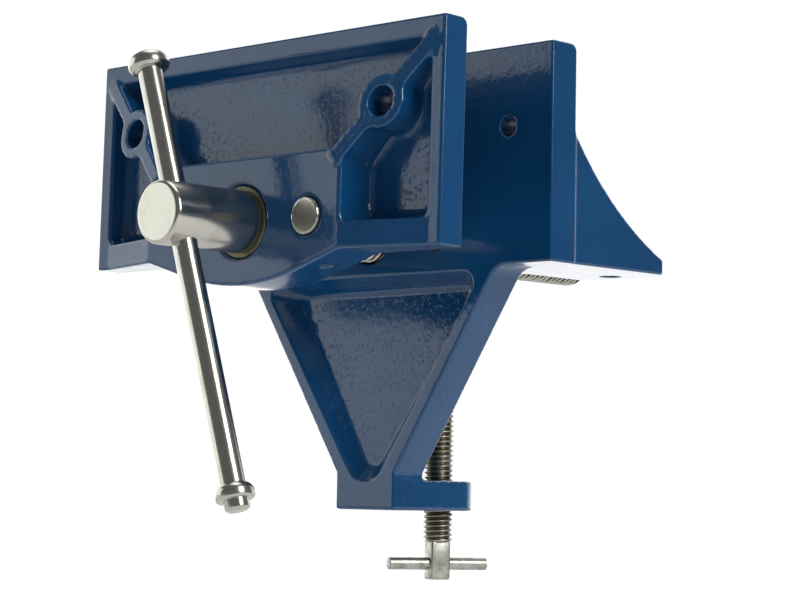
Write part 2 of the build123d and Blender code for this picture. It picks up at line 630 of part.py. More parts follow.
# Collar on the lower end: rounded towards the head, flat below
rivet_radius = BAR_RADIUS + RIVET_KNOB_WALL
rivet_lip = BAR_RADIUS + RIVET_KNOB_LIP
rivet_round = min(RIVET_KNOB_ROUND, RIVET_KNOB_LENGTH - 2 * RIVET_KNOB_EDGE)
rivet_centre = rivet_radius - rivet_round
rivet_start = rivet_round - (rivet_round**2 - (rivet_lip - rivet_centre) ** 2) ** 0.5
rivet_bottom = -(BAR_DOWN + RIVET_KNOB_LENGTH)
with BuildPart() as tommy_bar_knob_lower:
    with BuildSketch(bar_frame):
        with BuildLine():
            Polyline(
                (rivet_radius, -(BAR_DOWN + rivet_round)),
                (rivet_radius, rivet_bottom + RIVET_KNOB_EDGE),
                (rivet_radius - RIVET_KNOB_EDGE, rivet_bottom),
                (BAR_RADIUS + DRIVE_FIT, rivet_bottom),
                (BAR_RADIUS + DRIVE_FIT, -(BAR_DOWN + rivet_start)),
                (rivet_lip, -(BAR_DOWN + rivet_start)),
            )
            RadiusArc(
                (rivet_lip, -(BAR_DOWN + rivet_start)),
                (rivet_radius, -(BAR_DOWN + rivet_round)),
                rivet_round,
            )
        make_face()
    revolve(axis=bar_axis)
save(tommy_bar_knob_lower, "tommy_bar_knob_lower")

# Clamp screw: ball end on top, plain at its major diameter, squared end below
clamp_top = pad_bottom - PAD_GAP
with BuildPart() as clamp_screw:
    with BuildSketch(Plane.XY.offset(CLAMP_THREAD_BOTTOM)):
        with Locations((0, CLAMP_AXIS)):
            Circle(CLAMP_RADIUS)
    extrude(amount=clamp_top - CLAMP_THREAD_BOTTOM)
    chamfer(edges().filter_by(GeomType.CIRCLE), CLAMP_CHAMFER)
    with BuildSketch(Plane.XY.offset(CLAMP_END)):
        with Locations((0, CLAMP_AXIS)):
            Rectangle(SHANK_SQUARE, SHANK_SQUARE, rotation=-TBAR_TURN)
    extrude(amount=CLAMP_THREAD_BOTTOM - CLAMP_END)
    with BuildSketch(Plane.XY.offset(clamp_top)):
        with Locations((0, CLAMP_AXIS)):
            Circle(NECK_RADIUS)
    extrude(amount=ball_height - clamp_top)
    with Locations((0, CLAMP_AXIS, ball_height)):
        Sphere(BALL_RADIUS)
    with BuildSketch(tbar_section):
        Circle(TBAR_RADIUS + DRIVE_FIT)
    extrude(amount=SHANK_SQUARE, both=True, mode=Mode.SUBTRACT)
save(clamp_screw, "clamp_screw")

with BuildPart() as clamp_tbar:
    with BuildSketch(tbar_section):
        Circle(TBAR_RADIUS)
    extrude(amount=TBAR_LENGTH / 2, both=True)
    chamfer(edges().filter_by(GeomType.CIRCLE), TBAR_CHAMFER)
save(clamp_tbar, "clamp_tbar")

# Swivel pad, closed round the screw's ball
with BuildPart() as clamp_pad:
    with BuildSketch(facing(CLAMP_AXIS)):
        with BuildLine():
            Polyline(
                (0, PAD_TOP),
                (PAD_RADIUS, PAD_TOP),
                (PAD_RADIUS, PAD_TOP - PAD_RIM),
                (PAD_BASE_RADIUS, pad_bottom),
                (0, pad_bottom),
                close=True,
            )
        make_face()
    revolve(axis=Axis((0, CLAMP_AXIS, 0), (0, 0, 1)))
    with Locations((0, CLAMP_AXIS, ball_height)):
        Sphere(BALL_RADIUS + BALL_FIT, mode=Mode.SUBTRACT)
save(clamp_pad, "clamp_pad")
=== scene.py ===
import math

import bmesh
import bpy
import numpy as np
from mathutils import Matrix, Vector
from mathutils.bvhtree import BVHTree


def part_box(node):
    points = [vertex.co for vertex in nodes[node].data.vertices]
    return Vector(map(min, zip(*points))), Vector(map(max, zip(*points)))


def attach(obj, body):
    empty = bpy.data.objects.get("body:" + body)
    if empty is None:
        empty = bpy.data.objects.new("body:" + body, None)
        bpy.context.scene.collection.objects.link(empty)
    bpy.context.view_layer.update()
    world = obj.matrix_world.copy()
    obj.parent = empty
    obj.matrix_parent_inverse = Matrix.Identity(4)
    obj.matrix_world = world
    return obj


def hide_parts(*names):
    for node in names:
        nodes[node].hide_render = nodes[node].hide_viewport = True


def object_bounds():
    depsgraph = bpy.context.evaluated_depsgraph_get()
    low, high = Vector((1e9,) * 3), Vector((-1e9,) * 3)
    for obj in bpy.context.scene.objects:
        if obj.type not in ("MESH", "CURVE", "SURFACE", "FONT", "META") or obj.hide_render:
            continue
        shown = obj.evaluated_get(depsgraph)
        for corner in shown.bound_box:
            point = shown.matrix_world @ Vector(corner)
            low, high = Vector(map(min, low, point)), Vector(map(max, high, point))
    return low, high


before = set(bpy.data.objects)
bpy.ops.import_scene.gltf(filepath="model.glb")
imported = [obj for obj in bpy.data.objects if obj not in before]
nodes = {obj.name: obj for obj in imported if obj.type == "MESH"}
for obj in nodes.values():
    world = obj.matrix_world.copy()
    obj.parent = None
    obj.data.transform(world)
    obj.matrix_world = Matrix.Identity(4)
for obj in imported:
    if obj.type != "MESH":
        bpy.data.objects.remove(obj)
cad_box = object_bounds()

# ---------------------------------------------------------------------------
# Studio floor and camera: the vise hangs in front of a white backdrop with no
# bench, seen from low on its right; the floor is a sheet of white paper below.
# ---------------------------------------------------------------------------
CAMERA_PLACE = Vector((0.5396, -0.5476, -0.0687))
CAMERA_YAW = math.radians(43.83)
CAMERA_PITCH = math.radians(4.49)
CAMERA_ROLL = math.radians(1.03)
CAMERA_LENS = 110.25
SENSOR_WIDTH = 36.0

ahead = Vector(
    (
        -math.sin(CAMERA_YAW) * math.cos(CAMERA_PITCH),
        math.cos(CAMERA_YAW) * math.cos(CAMERA_PITCH),
        math.sin(CAMERA_PITCH),
    )
)
level = Vector((math.cos(CAMERA_YAW), math.sin(CAMERA_YAW), 0.0))
upright = level.cross(ahead)
across = level * math.cos(CAMERA_ROLL) + upright * math.sin(CAMERA_ROLL)
camera_up = upright * math.cos(CAMERA_ROLL) - level * math.sin(CAMERA_ROLL)

camera_data = bpy.data.cameras.new("camera")
camera_data.lens = CAMERA_LENS
camera_data.sensor_width = SENSOR_WIDTH
camera_data.clip_start = 0.05
camera_data.clip_end = 50.0
camera = bpy.data.objects.new("camera", camera_data)
bpy.context.scene.collection.objects.link(camera)
turn = Matrix((across, camera_up, -ahead)).transposed()
camera.matrix_world = Matrix.Translation(CAMERA_PLACE) @ turn.to_4x4()
bpy.context.scene.camera = camera


def linear(hex_colour):
    """An sRGB hex colour as the linear RGBA that shaders take."""
    channels = [int(hex_colour[i : i + 2], 16) / 255 for i in (1, 3, 5)]
    return tuple(c / 12.92 if c <= 0.04045 else ((c + 0.055) / 1.055) ** 2.4 for c in channels) + (1.0,)


def add(tree, kind, settings=None, inputs=None, links=None):
    """Adds one node to a tree: its settings, the values of its inputs, and what its inputs come from."""
    node = tree.nodes.new(kind)
    for name, value in (settings or {}).items():
        setattr(node, name, value)
    for name, value in (inputs or {}).items():
        node.inputs[name].default_value = value
    for name, source in (links or {}).items():
        tree.links.new(source, node.inputs[name])
    return node


def new_material(name):
    """An empty node material with its tree and output node."""
    material = bpy.data.materials.new(name)
    material.use_nodes = True
    material.node_tree.nodes.clear()
    output = material.node_tree.nodes.new("ShaderNodeOutputMaterial")
    return material, material.node_tree, output


def new_object(name, mesh, material=None):
    """Puts a finished mesh into the scene at the origin."""
    thing = bpy.data.objects.new(name, mesh)
    bpy.context.scene.collection.objects.link(thing)
    if material:
        mesh.materials.clear()
        mesh.materials.append(material)
    return thing


FLOOR_DROP = 0.16
FLOOR_SIZE = 3.0
floor_mesh = bpy.data.meshes.new("floor")
floor_z = cad_box[0][2] - FLOOR_DROP
edge = FLOOR_SIZE / 2
floor_mesh.from_pydata(
    [(-edge, -edge, floor_z), (edge, -edge, floor_z), (edge, edge, floor_z), (-edge, edge, floor_z)],
    [],
    [(0, 1, 2, 3)],
)

# Matt white studio paper
paper, tree, output = new_material("white_studio_paper")
shader = add(tree, "ShaderNodeBsdfPrincipled", inputs={"Base Color": linear("#F4F4F4"), "Roughness": 0.9})
tree.links.new(shader.outputs["BSDF"], output.inputs["Surface"])
new_object("floor", floor_mesh, paper)


# ---------------------------------------------------------------------------
# Rear jaw casting: one grey-iron casting with the jaw plate, end webs, seat
# flanges, tunnel, leg and foot, sand cast and dipped in blue enamel, so every
# corner is soft, every root is filleted and the recess floors are rough.
# ---------------------------------------------------------------------------
REAR_VOXEL = 0.00052
CASTING_TRIANGLES = 190000

# Corners are softened by moving each point toward its neighbours' mean and nearly as far back again
EDGE_PASSES = 22
SOFTEN = 0.6
RESTORE = 0.53
FULL_CORNER = 0.32

# Roots are filled where the skin is hollow, a few points out from them, and no thicker than MAX_ROOT
HOLLOW = -0.06
ROOT_SPREAD = 4
ROOT_REACH = 1.6
ROOT_PASSES = 40
ROOT_STEP = 0.9
MAX_ROOT = 0.0006

# The rough floors fade out over a few points at their borders
ROUGH_FADE = 4

# A hole's mouth is left free of fillets, and its wall is set back so that nothing rubs in it
HOLE_MARGIN = 0.0012
HOLE_ENDS = 0.001
HOLE_CATCH = 0.35
HOLE_SET_BACK = 0.00012


def applied(thing):
    """The plain mesh that an object and its modifiers make."""
    return bpy.data.meshes.new_from_object(thing.evaluated_get(bpy.context.evaluated_depsgraph_get()))


def neighbour_mean(values, edges, counts):
    """The mean over each vertex's neighbours of one value or vector per vertex."""
    values = values.reshape(len(counts), -1)
    sums = np.empty_like(values)
    for column in range(values.shape[1]):
        sums[:, column] = np.bincount(edges[:, 0], values[edges[:, 1], column], len(counts))
        sums[:, column] += np.bincount(edges[:, 1], values[edges[:, 0], column], len(counts))
    return sums / counts[:, None]


def near_line(points, place, direction, start, end):
    """Each point's distance from a line, or 1 m beyond its start and end, and its offset from the line."""
    offset = points - np.array(place)
    along = offset @ np.array(direction)
    off_axis = offset - along[:, None] * np.array(direction)
    distance = np.linalg.norm(off_axis, axis=1)
    return np.where((along > start) & (along < end), distance, 1.0), off_axis


def cast_skin(node_name, name, voxel, lean, holes, rough_test):
    """A casting's mesh: the CAD shape remeshed, with softened edges, filleted roots and true holes.

    The remesh is square to the casting, which leans; holes are (place, direction, radius, start, end);
    rough_test tells the as-cast floors from their points.
    """
    source = nodes[node_name]
    mesh = source.data.copy()
    mesh.transform(source.matrix_world)
    shape = bmesh.new()
    shape.from_mesh(mesh)
    bmesh.ops.remove_doubles(shape, verts=shape.verts, dist=1e-6)
    drawn = BVHTree.FromBMesh(shape)
    shape.to_mesh(mesh)
    shape.free()
    mesh.transform(Matrix.Rotation(lean, 4, "X"))
    rough_object = new_object(name + "_block", mesh)
    remesh = rough_object.modifiers.new("remesh", "REMESH")
    remesh.mode = "VOXEL"
    remesh.voxel_size = voxel
    remesh.adaptivity = 0.0
    skin = applied(rough_object)
    skin.name = name
    skin.transform(Matrix.Rotation(-lean, 4, "X"))
    bpy.data.objects.remove(rough_object)

    count = len(skin.vertices)
    points = np.empty(count * 3)
    skin.vertices.foreach_get("co", points)
    points = points.reshape(count, 3)
    edges = np.empty(len(skin.edges) * 2, dtype=np.int64)
    skin.edges.foreach_get("vertices", edges)
    edges = edges.reshape(-1, 2)
    counts = np.maximum(np.bincount(edges.ravel(), minlength=count), 1).astype(float)

    keep_clear = np.zeros(count, dtype=bool)
    for place, direction, radius, start, end in holes:
        distance, _ = near_line(points, place, direction, start - HOLE_ENDS, end + HOLE_ENDS)
        keep_clear |= distance < radius + HOLE_MARGIN

    # The skin is laid exactly on the drawn faces before its edges are softened
    for index in range(count):
        spot = drawn.find_nearest(Vector(points[index]), 2 * voxel)[0]
        if spot is not None:
            points[index] = spot
    for _ in range(EDGE_PASSES):
        points += SOFTEN * (neighbour_mean(points, edges, counts) - points)
        points -= RESTORE * (neighbour_mean(points, edges, counts) - points)

    skin.vertices.foreach_set("co", points.ravel())
    skin.update()
    normals = np.empty(count * 3, dtype=np.float32)
    skin.vertices.foreach_get("normal", normals)
    normals = normals.reshape(count, 3).astype(float)
    bulge = np.einsum("ij,ij->i", points - neighbour_mean(points, edges, counts), normals)

    # Fillets grow only where the surface is hollow and no hole is near
    hollow = ((bulge < HOLLOW * voxel) & ~keep_clear).astype(float)
    for _ in range(ROOT_SPREAD):
        hollow = np.maximum(hollow, neighbour_mean(hollow, edges, counts)[:, 0] * ROOT_REACH)
    hollow = np.clip(hollow, 0, 1) * ~keep_clear
    start_points = points.copy()
    for _ in range(ROOT_PASSES):
        pull = np.einsum("ij,ij->i", neighbour_mean(points, edges, counts) - points, normals)
        points += (ROOT_STEP * hollow * np.maximum(pull, 0))[:, None] * normals
    grown = np.linalg.norm(points - start_points, axis=1)
    over = grown > MAX_ROOT
    points[over] = start_points[over] + (points - start_points)[over] * (MAX_ROOT / grown[over])[:, None]

    # Holes are bored after casting: their walls are round and clear of what runs in them
    for place, direction, radius, start, end in holes:
        distance, off_axis = near_line(points, place, direction, start, end)
        inside = (distance < radius + HOLE_CATCH * voxel) & (distance > 1e-6)
        points[inside] += off_axis[inside] * ((radius + HOLE_SET_BACK) / distance[inside] - 1)[:, None]

    low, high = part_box(node_name)
    points = np.clip(points, np.array(low), np.array(high))
    skin.vertices.foreach_set("co", points.ravel())
    skin.update()

    worn = np.clip(bulge / (FULL_CORNER * voxel), 0, 1)
    worn = np.maximum(worn, neighbour_mean(worn, edges, counts)[:, 0])
    rough = rough_test(points).astype(float)
    for _ in range(ROUGH_FADE):
        rough = neighbour_mean(rough, edges, counts)[:, 0]
    for attribute_name, values in (("edge", worn), ("as_cast", rough)):
        attribute = skin.attributes.new(attribute_name, "FLOAT", "POINT")
        attribute.data.foreach_set("value", values.astype(np.float32))

    # Flat faces need few triangles, so the fine skin is thinned where it is flat
    full = new_object(name + "_fine", skin)
    thin = full.modifiers.new("thin", "DECIMATE")
    thin.ratio = min(1.0, CASTING_TRIANGLES / (2 * len(skin.polygons)))
    thinned = applied(full)
    thinned.name = name
    bpy.data.objects.remove(full)
    points = np.empty(len(thinned.vertices) * 3)
    thinned.vertices.foreach_get("co", points)
    points = np.clip(points.reshape(-1, 3), np.array(low), np.array(high))
    thinned.vertices.foreach_set("co", points.ravel())
    thinned.update()
    thinned.shade_smooth()
    return thinned


# Stoved blue enamel over rough iron: a deep wet gloss with a faint orange peel, a little cloudy in its
# depth, pitted where the sand left the floors rough, and chipped to brown iron here and there on corners.
ENAMEL_DEEP = "#0B3860"
ENAMEL_THIN = "#104E80"
BARE_IRON = "#33241B"
CLOUD_MM = 28.0
PEEL_MM = 2.4
SAND_MM = 1.3
CHIP_MM = 1.6
CHIP_GROUP_MM = 14.0

enamel, tree, output = new_material("stoved_blue_enamel_on_cast_iron")
place = add(tree, "ShaderNodeTexCoord").outputs["Object"]
edge_value = add(tree, "ShaderNodeAttribute", {"attribute_name": "edge"}).outputs["Fac"]
cast_value = add(tree, "ShaderNodeAttribute", {"attribute_name": "as_cast"}).outputs["Fac"]
cloud = add(
    tree,
    "ShaderNodeTexNoise",
    inputs={"Scale": 1000 / CLOUD_MM, "Detail": 3.0},
    links={"Vector": place},
)
shade = add(
    tree,
    "ShaderNodeMix",
    {"data_type": "RGBA"},
    {6: linear(ENAMEL_DEEP), 7: linear(ENAMEL_THIN)},
    {0: cloud.outputs["Fac"]},
)
peel = add(
    tree,
    "ShaderNodeTexNoise",
    inputs={"Scale": 1000 / PEEL_MM, "Detail": 4.0},
    links={"Vector": place},
)
sand = add(
    tree,
    "ShaderNodeTexNoise",
    inputs={"Scale": 1000 / SAND_MM, "Detail": 3.0, "Roughness": 0.6},
    links={"Vector": place},
)
pits = add(
    tree,
    "ShaderNodeMapRange",
    {"interpolation_type": "SMOOTHSTEP"},
    {"From Min": 0.30, "From Max": 0.44},
    {"Value": sand.outputs["Fac"]},
)
pit_depth = add(
    tree,
    "ShaderNodeMath",
    {"operation": "MULTIPLY"},
    links={0: pits.outputs["Result"], 1: cast_value},
)
peel_bump = add(
    tree,
    "ShaderNodeBump",
    inputs={"Strength": 0.16, "Distance": 0.0006},
    links={"Height": peel.outputs["Fac"]},
)
pit_bump = add(
    tree,
    "ShaderNodeBump",
    inputs={"Strength": 0.24, "Distance": 0.0004},
    links={"Height": pit_depth.outputs[0], "Normal": peel_bump.outputs["Normal"]},
)
chip_noise = add(
    tree,
    "ShaderNodeTexNoise",
    inputs={"Scale": 1000 / CHIP_MM, "Detail": 4.0, "Roughness": 0.7},
    links={"Vector": place},
)
group_noise = add(
    tree,
    "ShaderNodeTexNoise",
    inputs={"Scale": 1000 / CHIP_GROUP_MM, "Detail": 1.0},
    links={"Vector": place},
)
chip_sum = add(
    tree,
    "ShaderNodeMath",
    {"operation": "MULTIPLY_ADD"},
    {1: 0.55},
    {0: edge_value, 2: chip_noise.outputs["Fac"]},
)
chip_groups = add(
    tree,
    "ShaderNodeMath",
    {"operation": "ADD"},
    links={0: chip_sum.outputs[0], 1: group_noise.outputs["Fac"]},
)
chips = add(
    tree,
    "ShaderNodeMapRange",
    {"interpolation_type": "SMOOTHSTEP"},
    {"From Min": 1.56, "From Max": 1.61},
    {"Value": chip_groups.outputs[0]},
)
colour = add(
    tree,
    "ShaderNodeMix",
    {"data_type": "RGBA"},
    {7: linear(BARE_IRON)},
    {0: chips.outputs["Result"], 6: shade.outputs[2]},
)
gloss = add(
    tree,
    "ShaderNodeMapRange",
    inputs={"To Min": 0.13, "To Max": 0.6},
    links={"Value": chips.outputs["Result"]},
)
shader = add(
    tree,
    "ShaderNodeBsdfPrincipled",
    inputs={"IOR": 1.5, "Coat Weight": 0.15, "Coat Roughness": 0.05},
    links={
        "Base Color": colour.outputs[2],
        "Roughness": gloss.outputs["Result"],
        "Normal": pit_bump.outputs["Normal"],
    },
)
tree.links.new(shader.outputs["BSDF"], output.inputs["Surface"])

ROD_BORE = 0.005605
SCREW_BORE = 0.00834
ROD_X = 0.0286
SCREW_Z = 0.0111
REAR_CHEEK_X = 0.0575
REAR_CHEEK_Z = 0.0416
CHEEK_HOLE = 0.00315
SEAT_HOLE_X = 0.0562
SEAT_HOLE_Y = 0.051
SEAT_HOLE = 0.0030
CLAMP_Y = 0.034
CLAMP_BORE = 0.00482
ALONG_Y = (0.0, 1.0, 0.0)
UP = (0.0, 0.0, 1.0)

# Each hole runs a little past the faces that it opens in
rear_holes = [
    ((0, 0, SCREW_Z), ALONG_Y, SCREW_BORE, -0.0005, 0.0305),
    ((-ROD_X, 0, SCREW_Z), ALONG_Y, ROD_BORE, -0.0005, 0.0305),
    ((ROD_X, 0, SCREW_Z), ALONG_Y, ROD_BORE, -0.0005, 0.0305),
    ((-REAR_CHEEK_X, 0, REAR_CHEEK_Z), ALONG_Y, CHEEK_HOLE, -0.0005, 0.0117),
    ((REAR_CHEEK_X, 0, REAR_CHEEK_Z), ALONG_Y, CHEEK_HOLE, -0.0005, 0.0117),
    ((-SEAT_HOLE_X, SEAT_HOLE_Y, 0), UP, SEAT_HOLE, -0.0005, 0.005),
    ((SEAT_HOLE_X, SEAT_HOLE_Y, 0), UP, SEAT_HOLE, -0.0005, 0.005),
    ((0, CLAMP_Y, 0), UP, CLAMP_BORE, -0.0748, -0.0643),
]


def leg_floor(points):
    """The rough floor of the hollow in the leg."""
    x, y, z = points.T
    return (y > 0.0025) & (y < 0.0092) & (z < -0.003) & (np.abs(x) < 0.047)


rear_skin = cast_skin("fixed_jaw_casting", "rear_jaw_casting", REAR_VOXEL, 0.0, rear_holes, leg_floor)
rear_jaw = new_object("rear_jaw_casting", rear_skin, enamel)
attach(rear_jaw, "bench_body")
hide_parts("fixed_jaw_casting")

# ---------------------------------------------------------------------------
# Front jaw casting: a thin panel with a raised rim, ribs, cheek-screw bosses
# and a thick lower boss, cast and enamelled like the rear jaw. Its broad
# recess floor is left as it came out of the sand.
# ---------------------------------------------------------------------------
FRONT_VOXEL = 0.00050
JAW_GAP = 0.0388
LEAN = math.radians(1.1)
CHEEK_X = 0.054
CHEEK_UP = 0.0426
CHEEK_BOSS_BORE = 0.0044
SCREW_FIT = 0.00799
ROD_FIT = 0.005575
out_of_front = (0.0, -math.cos(LEAN), math.sin(LEAN))
up_the_jaw = np.array((0.0, math.sin(LEAN), math.cos(LEAN)))
cheek_place = np.array((0.0, -JAW_GAP, 0.0)) + up_the_jaw * CHEEK_UP
front_holes = [
    ((0, -JAW_GAP, SCREW_Z), ALONG_Y, SCREW_FIT, -0.0175, 0.0002),
    ((-ROD_X, -JAW_GAP, SCREW_Z), ALONG_Y, ROD_FIT, -0.0175, 0.0005),
    ((ROD_X, -JAW_GAP, SCREW_Z), ALONG_Y, ROD_FIT, -0.0175, 0.0005),
]
for side in (-1, 1):
    centre = (side * CHEEK_X, cheek_place[1], cheek_place[2])
    front_holes.append((centre, out_of_front, CHEEK_HOLE, -0.0005, 0.0039))
    front_holes.append((centre, out_of_front, CHEEK_BOSS_BORE, 0.0041, 0.0165))


def panel_floor(points):
    """The rough floor of the front jaw's recess."""
    offset = points - np.array((0.0, -JAW_GAP, 0.0))
    out = offset @ np.array(out_of_front)
    return (out > 0.0033) & (out < 0.0048) & (np.abs(points[:, 0]) < 0.0685) & (points[:, 2] > 0.008)


front_skin = cast_skin("moving_jaw_casting", "front_jaw_casting", FRONT_VOXEL, LEAN, front_holes, panel_floor)
front_jaw = new_object("front_jaw_casting", front_skin, enamel)
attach(front_jaw, "front_jaw")
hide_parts("moving_jaw_casting")

# ---------------------------------------------------------------------------
# Guide rods: two lengths of bright drawn steel bar, faced and chamfered in the
# lathe, driven into the front jaw until they stand a little proud of its boss.
# ---------------------------------------------------------------------------
ROD_RADIUS = 0.005555
ROD_CHAMFER = 0.0005
ROD_RINGS = 10
ROD_RING_DEPTH = 0.00006
TURNING_ARC = 0.004


def lathe(name, profile, place, direction, steps=64, sharp=35.0):
    """A turned piece: (along, radius) steps from one end to the other, closed where the radius is 0.

    Its corner attribute "turning" holds, in metres, the radius, the length along the axis, and the arc's
    length at one radius, TURNING_ARC, so that tool marks run round it.
    """
    axis = Vector(direction).normalized()
    lay = Matrix.Translation(place) @ axis.to_track_quat("Z", "Y").to_matrix().to_4x4()
    shape = bmesh.new()
    rings = []
    for along, radius in profile:
        if radius < 1e-7:
            rings.append([shape.verts.new((0, 0, along))])
            continue
        ring = []
        for step in range(steps):
            angle = 2 * math.pi * step / steps
            ring.append(shape.verts.new((radius * math.cos(angle), radius * math.sin(angle), along)))
        rings.append(ring)
    for low, high in zip(rings, rings[1:]):
        for step in range(steps):
            following = (step + 1) % steps
            if len(low) == 1:
                shape.faces.new((low[0], high[following], high[step]))
            elif len(high) == 1:
                shape.faces.new((low[step], low[following], high[0]))
            else:
                shape.faces.new((low[step], low[following], high[following], high[step]))
    if len(rings[0]) > 1 and len(rings[-1]) > 1:
        for step in range(steps):
            following = (step + 1) % steps
            shape.faces.new((rings[-1][step], rings[-1][following], rings[0][following], rings[0][step]))
    bmesh.ops.recalc_face_normals(shape, faces=shape.faces)
    mesh = bpy.data.meshes.new(name)
    shape.to_mesh(mesh)
    shape.free()
    attribute = mesh.attributes.new("turning", "FLOAT_VECTOR", "CORNER")
    values = []
    for polygon in mesh.polygons:
        angles = []
        for index in polygon.vertices:
            spot = mesh.vertices[index].co
            angles.append(math.atan2(spot.y, spot.x) if spot.xy.length > 1e-6 else None)
        known = [a for a in angles if a is not None]
        wrap = max(known) - min(known) > math.pi
        for index, angle in zip(polygon.vertices, angles):
            spot = mesh.vertices[index].co
            if angle is None:
                angle = sum(known) / len(known)
            if wrap and angle < 0:
                angle += 2 * math.pi
            values.extend((spot.xy.length, spot.z, angle * TURNING_ARC))
    attribute.data.foreach_set("vector", values)
    mesh.transform(lay)
    mesh.shade_smooth()
    mesh.set_sharp_from_angle(angle=math.radians(sharp))
    return mesh


# Bright turned steel: polished with fine rings from the tool, grey with a warm cast, clouded by
# handling, with small dull nicks; the rings stretch the highlights across the axis.
STEEL_PALE = "#C6C3BA"
STEEL_DULL = "#8C887C"
RING_MM = 0.35
RING_LENGTH_MM = 9.0
SMEAR_MM = 7.0

turned_steel, tree, output = new_material("bright_turned_steel")
turning = add(tree, "ShaderNodeAttribute", {"attribute_name": "turning"}).outputs["Vector"]
place = add(tree, "ShaderNodeTexCoord").outputs["Object"]
stretched = add(
    tree,
    "ShaderNodeMapping",
    inputs={"Scale": (1000 / RING_MM, 1000 / RING_MM, 1000 / RING_LENGTH_MM)},
    links={"Vector": turning},
)
rings_noise = add(
    tree,
    "ShaderNodeTexNoise",
    inputs={"Scale": 1.0, "Detail": 2.0, "Roughness": 0.6},
    links={"Vector": stretched.outputs["Vector"]},
)
smear = add(
    tree,
    "ShaderNodeTexNoise",
    inputs={"Scale": 1000 / SMEAR_MM, "Detail": 4.0, "Roughness": 0.6},
    links={"Vector": place},
)
smear_mask = add(
    tree,
    "ShaderNodeMapRange",
    inputs={"From Min": 0.48, "From Max": 0.72, "To Max": 0.25},
    links={"Value": smear.outputs["Fac"]},
)
colour = add(
    tree,
    "ShaderNodeMix",
    {"data_type": "RGBA"},
    {6: linear(STEEL_PALE), 7: linear(STEEL_DULL)},
    {0: smear_mask.outputs["Result"]},
)
gloss = add(
    tree,
    "ShaderNodeMapRange",
    inputs={"From Min": 0.3, "From Max": 0.75, "To Min": 0.17, "To Max": 0.26},
    links={"Value": smear.outputs["Fac"]},
)
ring_bump = add(
    tree,
    "ShaderNodeBump",
    inputs={"Strength": 0.06, "Distance": 0.00004},
    links={"Height": rings_noise.outputs["Fac"]},
)
shader = add(
    tree,
    "ShaderNodeBsdfPrincipled",
    inputs={"Metallic": 1.0},
    links={
        "Base Color": colour.outputs[2],
        "Roughness": gloss.outputs["Result"],
        "Normal": ring_bump.outputs["Normal"],
    },
)
tree.links.new(shader.outputs["BSDF"], output.inputs["Surface"])

for side, node_name in ((-1, "guide_rod_left"), (1, "guide_rod_right")):
    low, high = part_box(node_name)
    length = high[1] - low[1]
    face = [(0.0, 0.0)]
    # Shallow facing rings left on the end by the tool, round a small centre mark
    for ring in range(1, ROD_RINGS):
        radius = (ROD_RADIUS - ROD_CHAMFER) * ring / ROD_RINGS
        face.append((ROD_RING_DEPTH if ring % 2 else 0.0, radius))
    profile = face + [
        (0.0, ROD_RADIUS - ROD_CHAMFER),
        (ROD_CHAMFER * 0.35, ROD_RADIUS - ROD_CHAMFER * 0.3),
        (ROD_CHAMFER, ROD_RADIUS),
        (length - ROD_CHAMFER, ROD_RADIUS),
        (length, ROD_RADIUS - ROD_CHAMFER),
        (length, 0.0),
    ]
    mesh = lathe(node_name + "_bar", profile, (side * ROD_X, low[1], SCREW_Z), ALONG_Y, steps=72)
    rod = new_object(node_name + "_bar", mesh, turned_steel)
    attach(rod, "front_jaw")
    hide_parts(node_name)

# ---------------------------------------------------------------------------
# Rod pins: plain steel pins driven up through the jaw's underside and the
# rods. Their lower ends are left a little proud and have been painted round.
# ---------------------------------------------------------------------------
PIN_RADIUS = 0.0015
PIN_DOME = 0.0004

# Oiled mill-finish steel: dark grey-brown scale with a greasy film and faint file marks.
SCALE_DARK = "#4A463F"
SCALE_PALE = "#77726A"
OIL_MM = 4.0
FILE_MM = 0.5
FILE_LENGTH_MM = 8.0

oiled_steel, tree, output = new_material("oiled_mill_steel")
place = add(tree, "ShaderNodeTexCoord").outputs["Object"]
oil = add(
    tree,
    "ShaderNodeTexNoise",
    inputs={"Scale": 1000 / OIL_MM, "Detail": 4.0},
    links={"Vector": place},
)
colour = add(
    tree,
    "ShaderNodeMix",
    {"data_type": "RGBA"},
    {6: linear(SCALE_DARK), 7: linear(SCALE_PALE)},
    {0: oil.outputs["Fac"]},
)
file_map = add(
    tree,
    "ShaderNodeMapping",
    inputs={"Scale": (1000 / FILE_MM, 1000 / FILE_LENGTH_MM, 1000 / FILE_MM)},
    links={"Vector": place},
)
file_marks = add(
    tree,
    "ShaderNodeTexNoise",
    inputs={"Scale": 1.0, "Detail": 2.0},
    links={"Vector": file_map.outputs["Vector"]},
)
file_bump = add(
    tree,
    "ShaderNodeBump",
    inputs={"Strength": 0.2, "Distance": 0.0001},
    links={"Height": file_marks.outputs["Fac"]},
)
gloss = add(
    tree,
    "ShaderNodeMapRange",
    inputs={"To Min": 0.28, "To Max": 0.55},
    links={"Value": oil.outputs["Fac"]},
)
shader = add(
    tree,
    "ShaderNodeBsdfPrincipled",
    inputs={"Metallic": 1.0},
    links={
        "Base Color": colour.outputs[2],
        "Roughness": gloss.outputs["Result"],
        "Normal": file_bump.outputs["Normal"],
    },
)
tree.links.new(shader.outputs["BSDF"], output.inputs["Surface"])

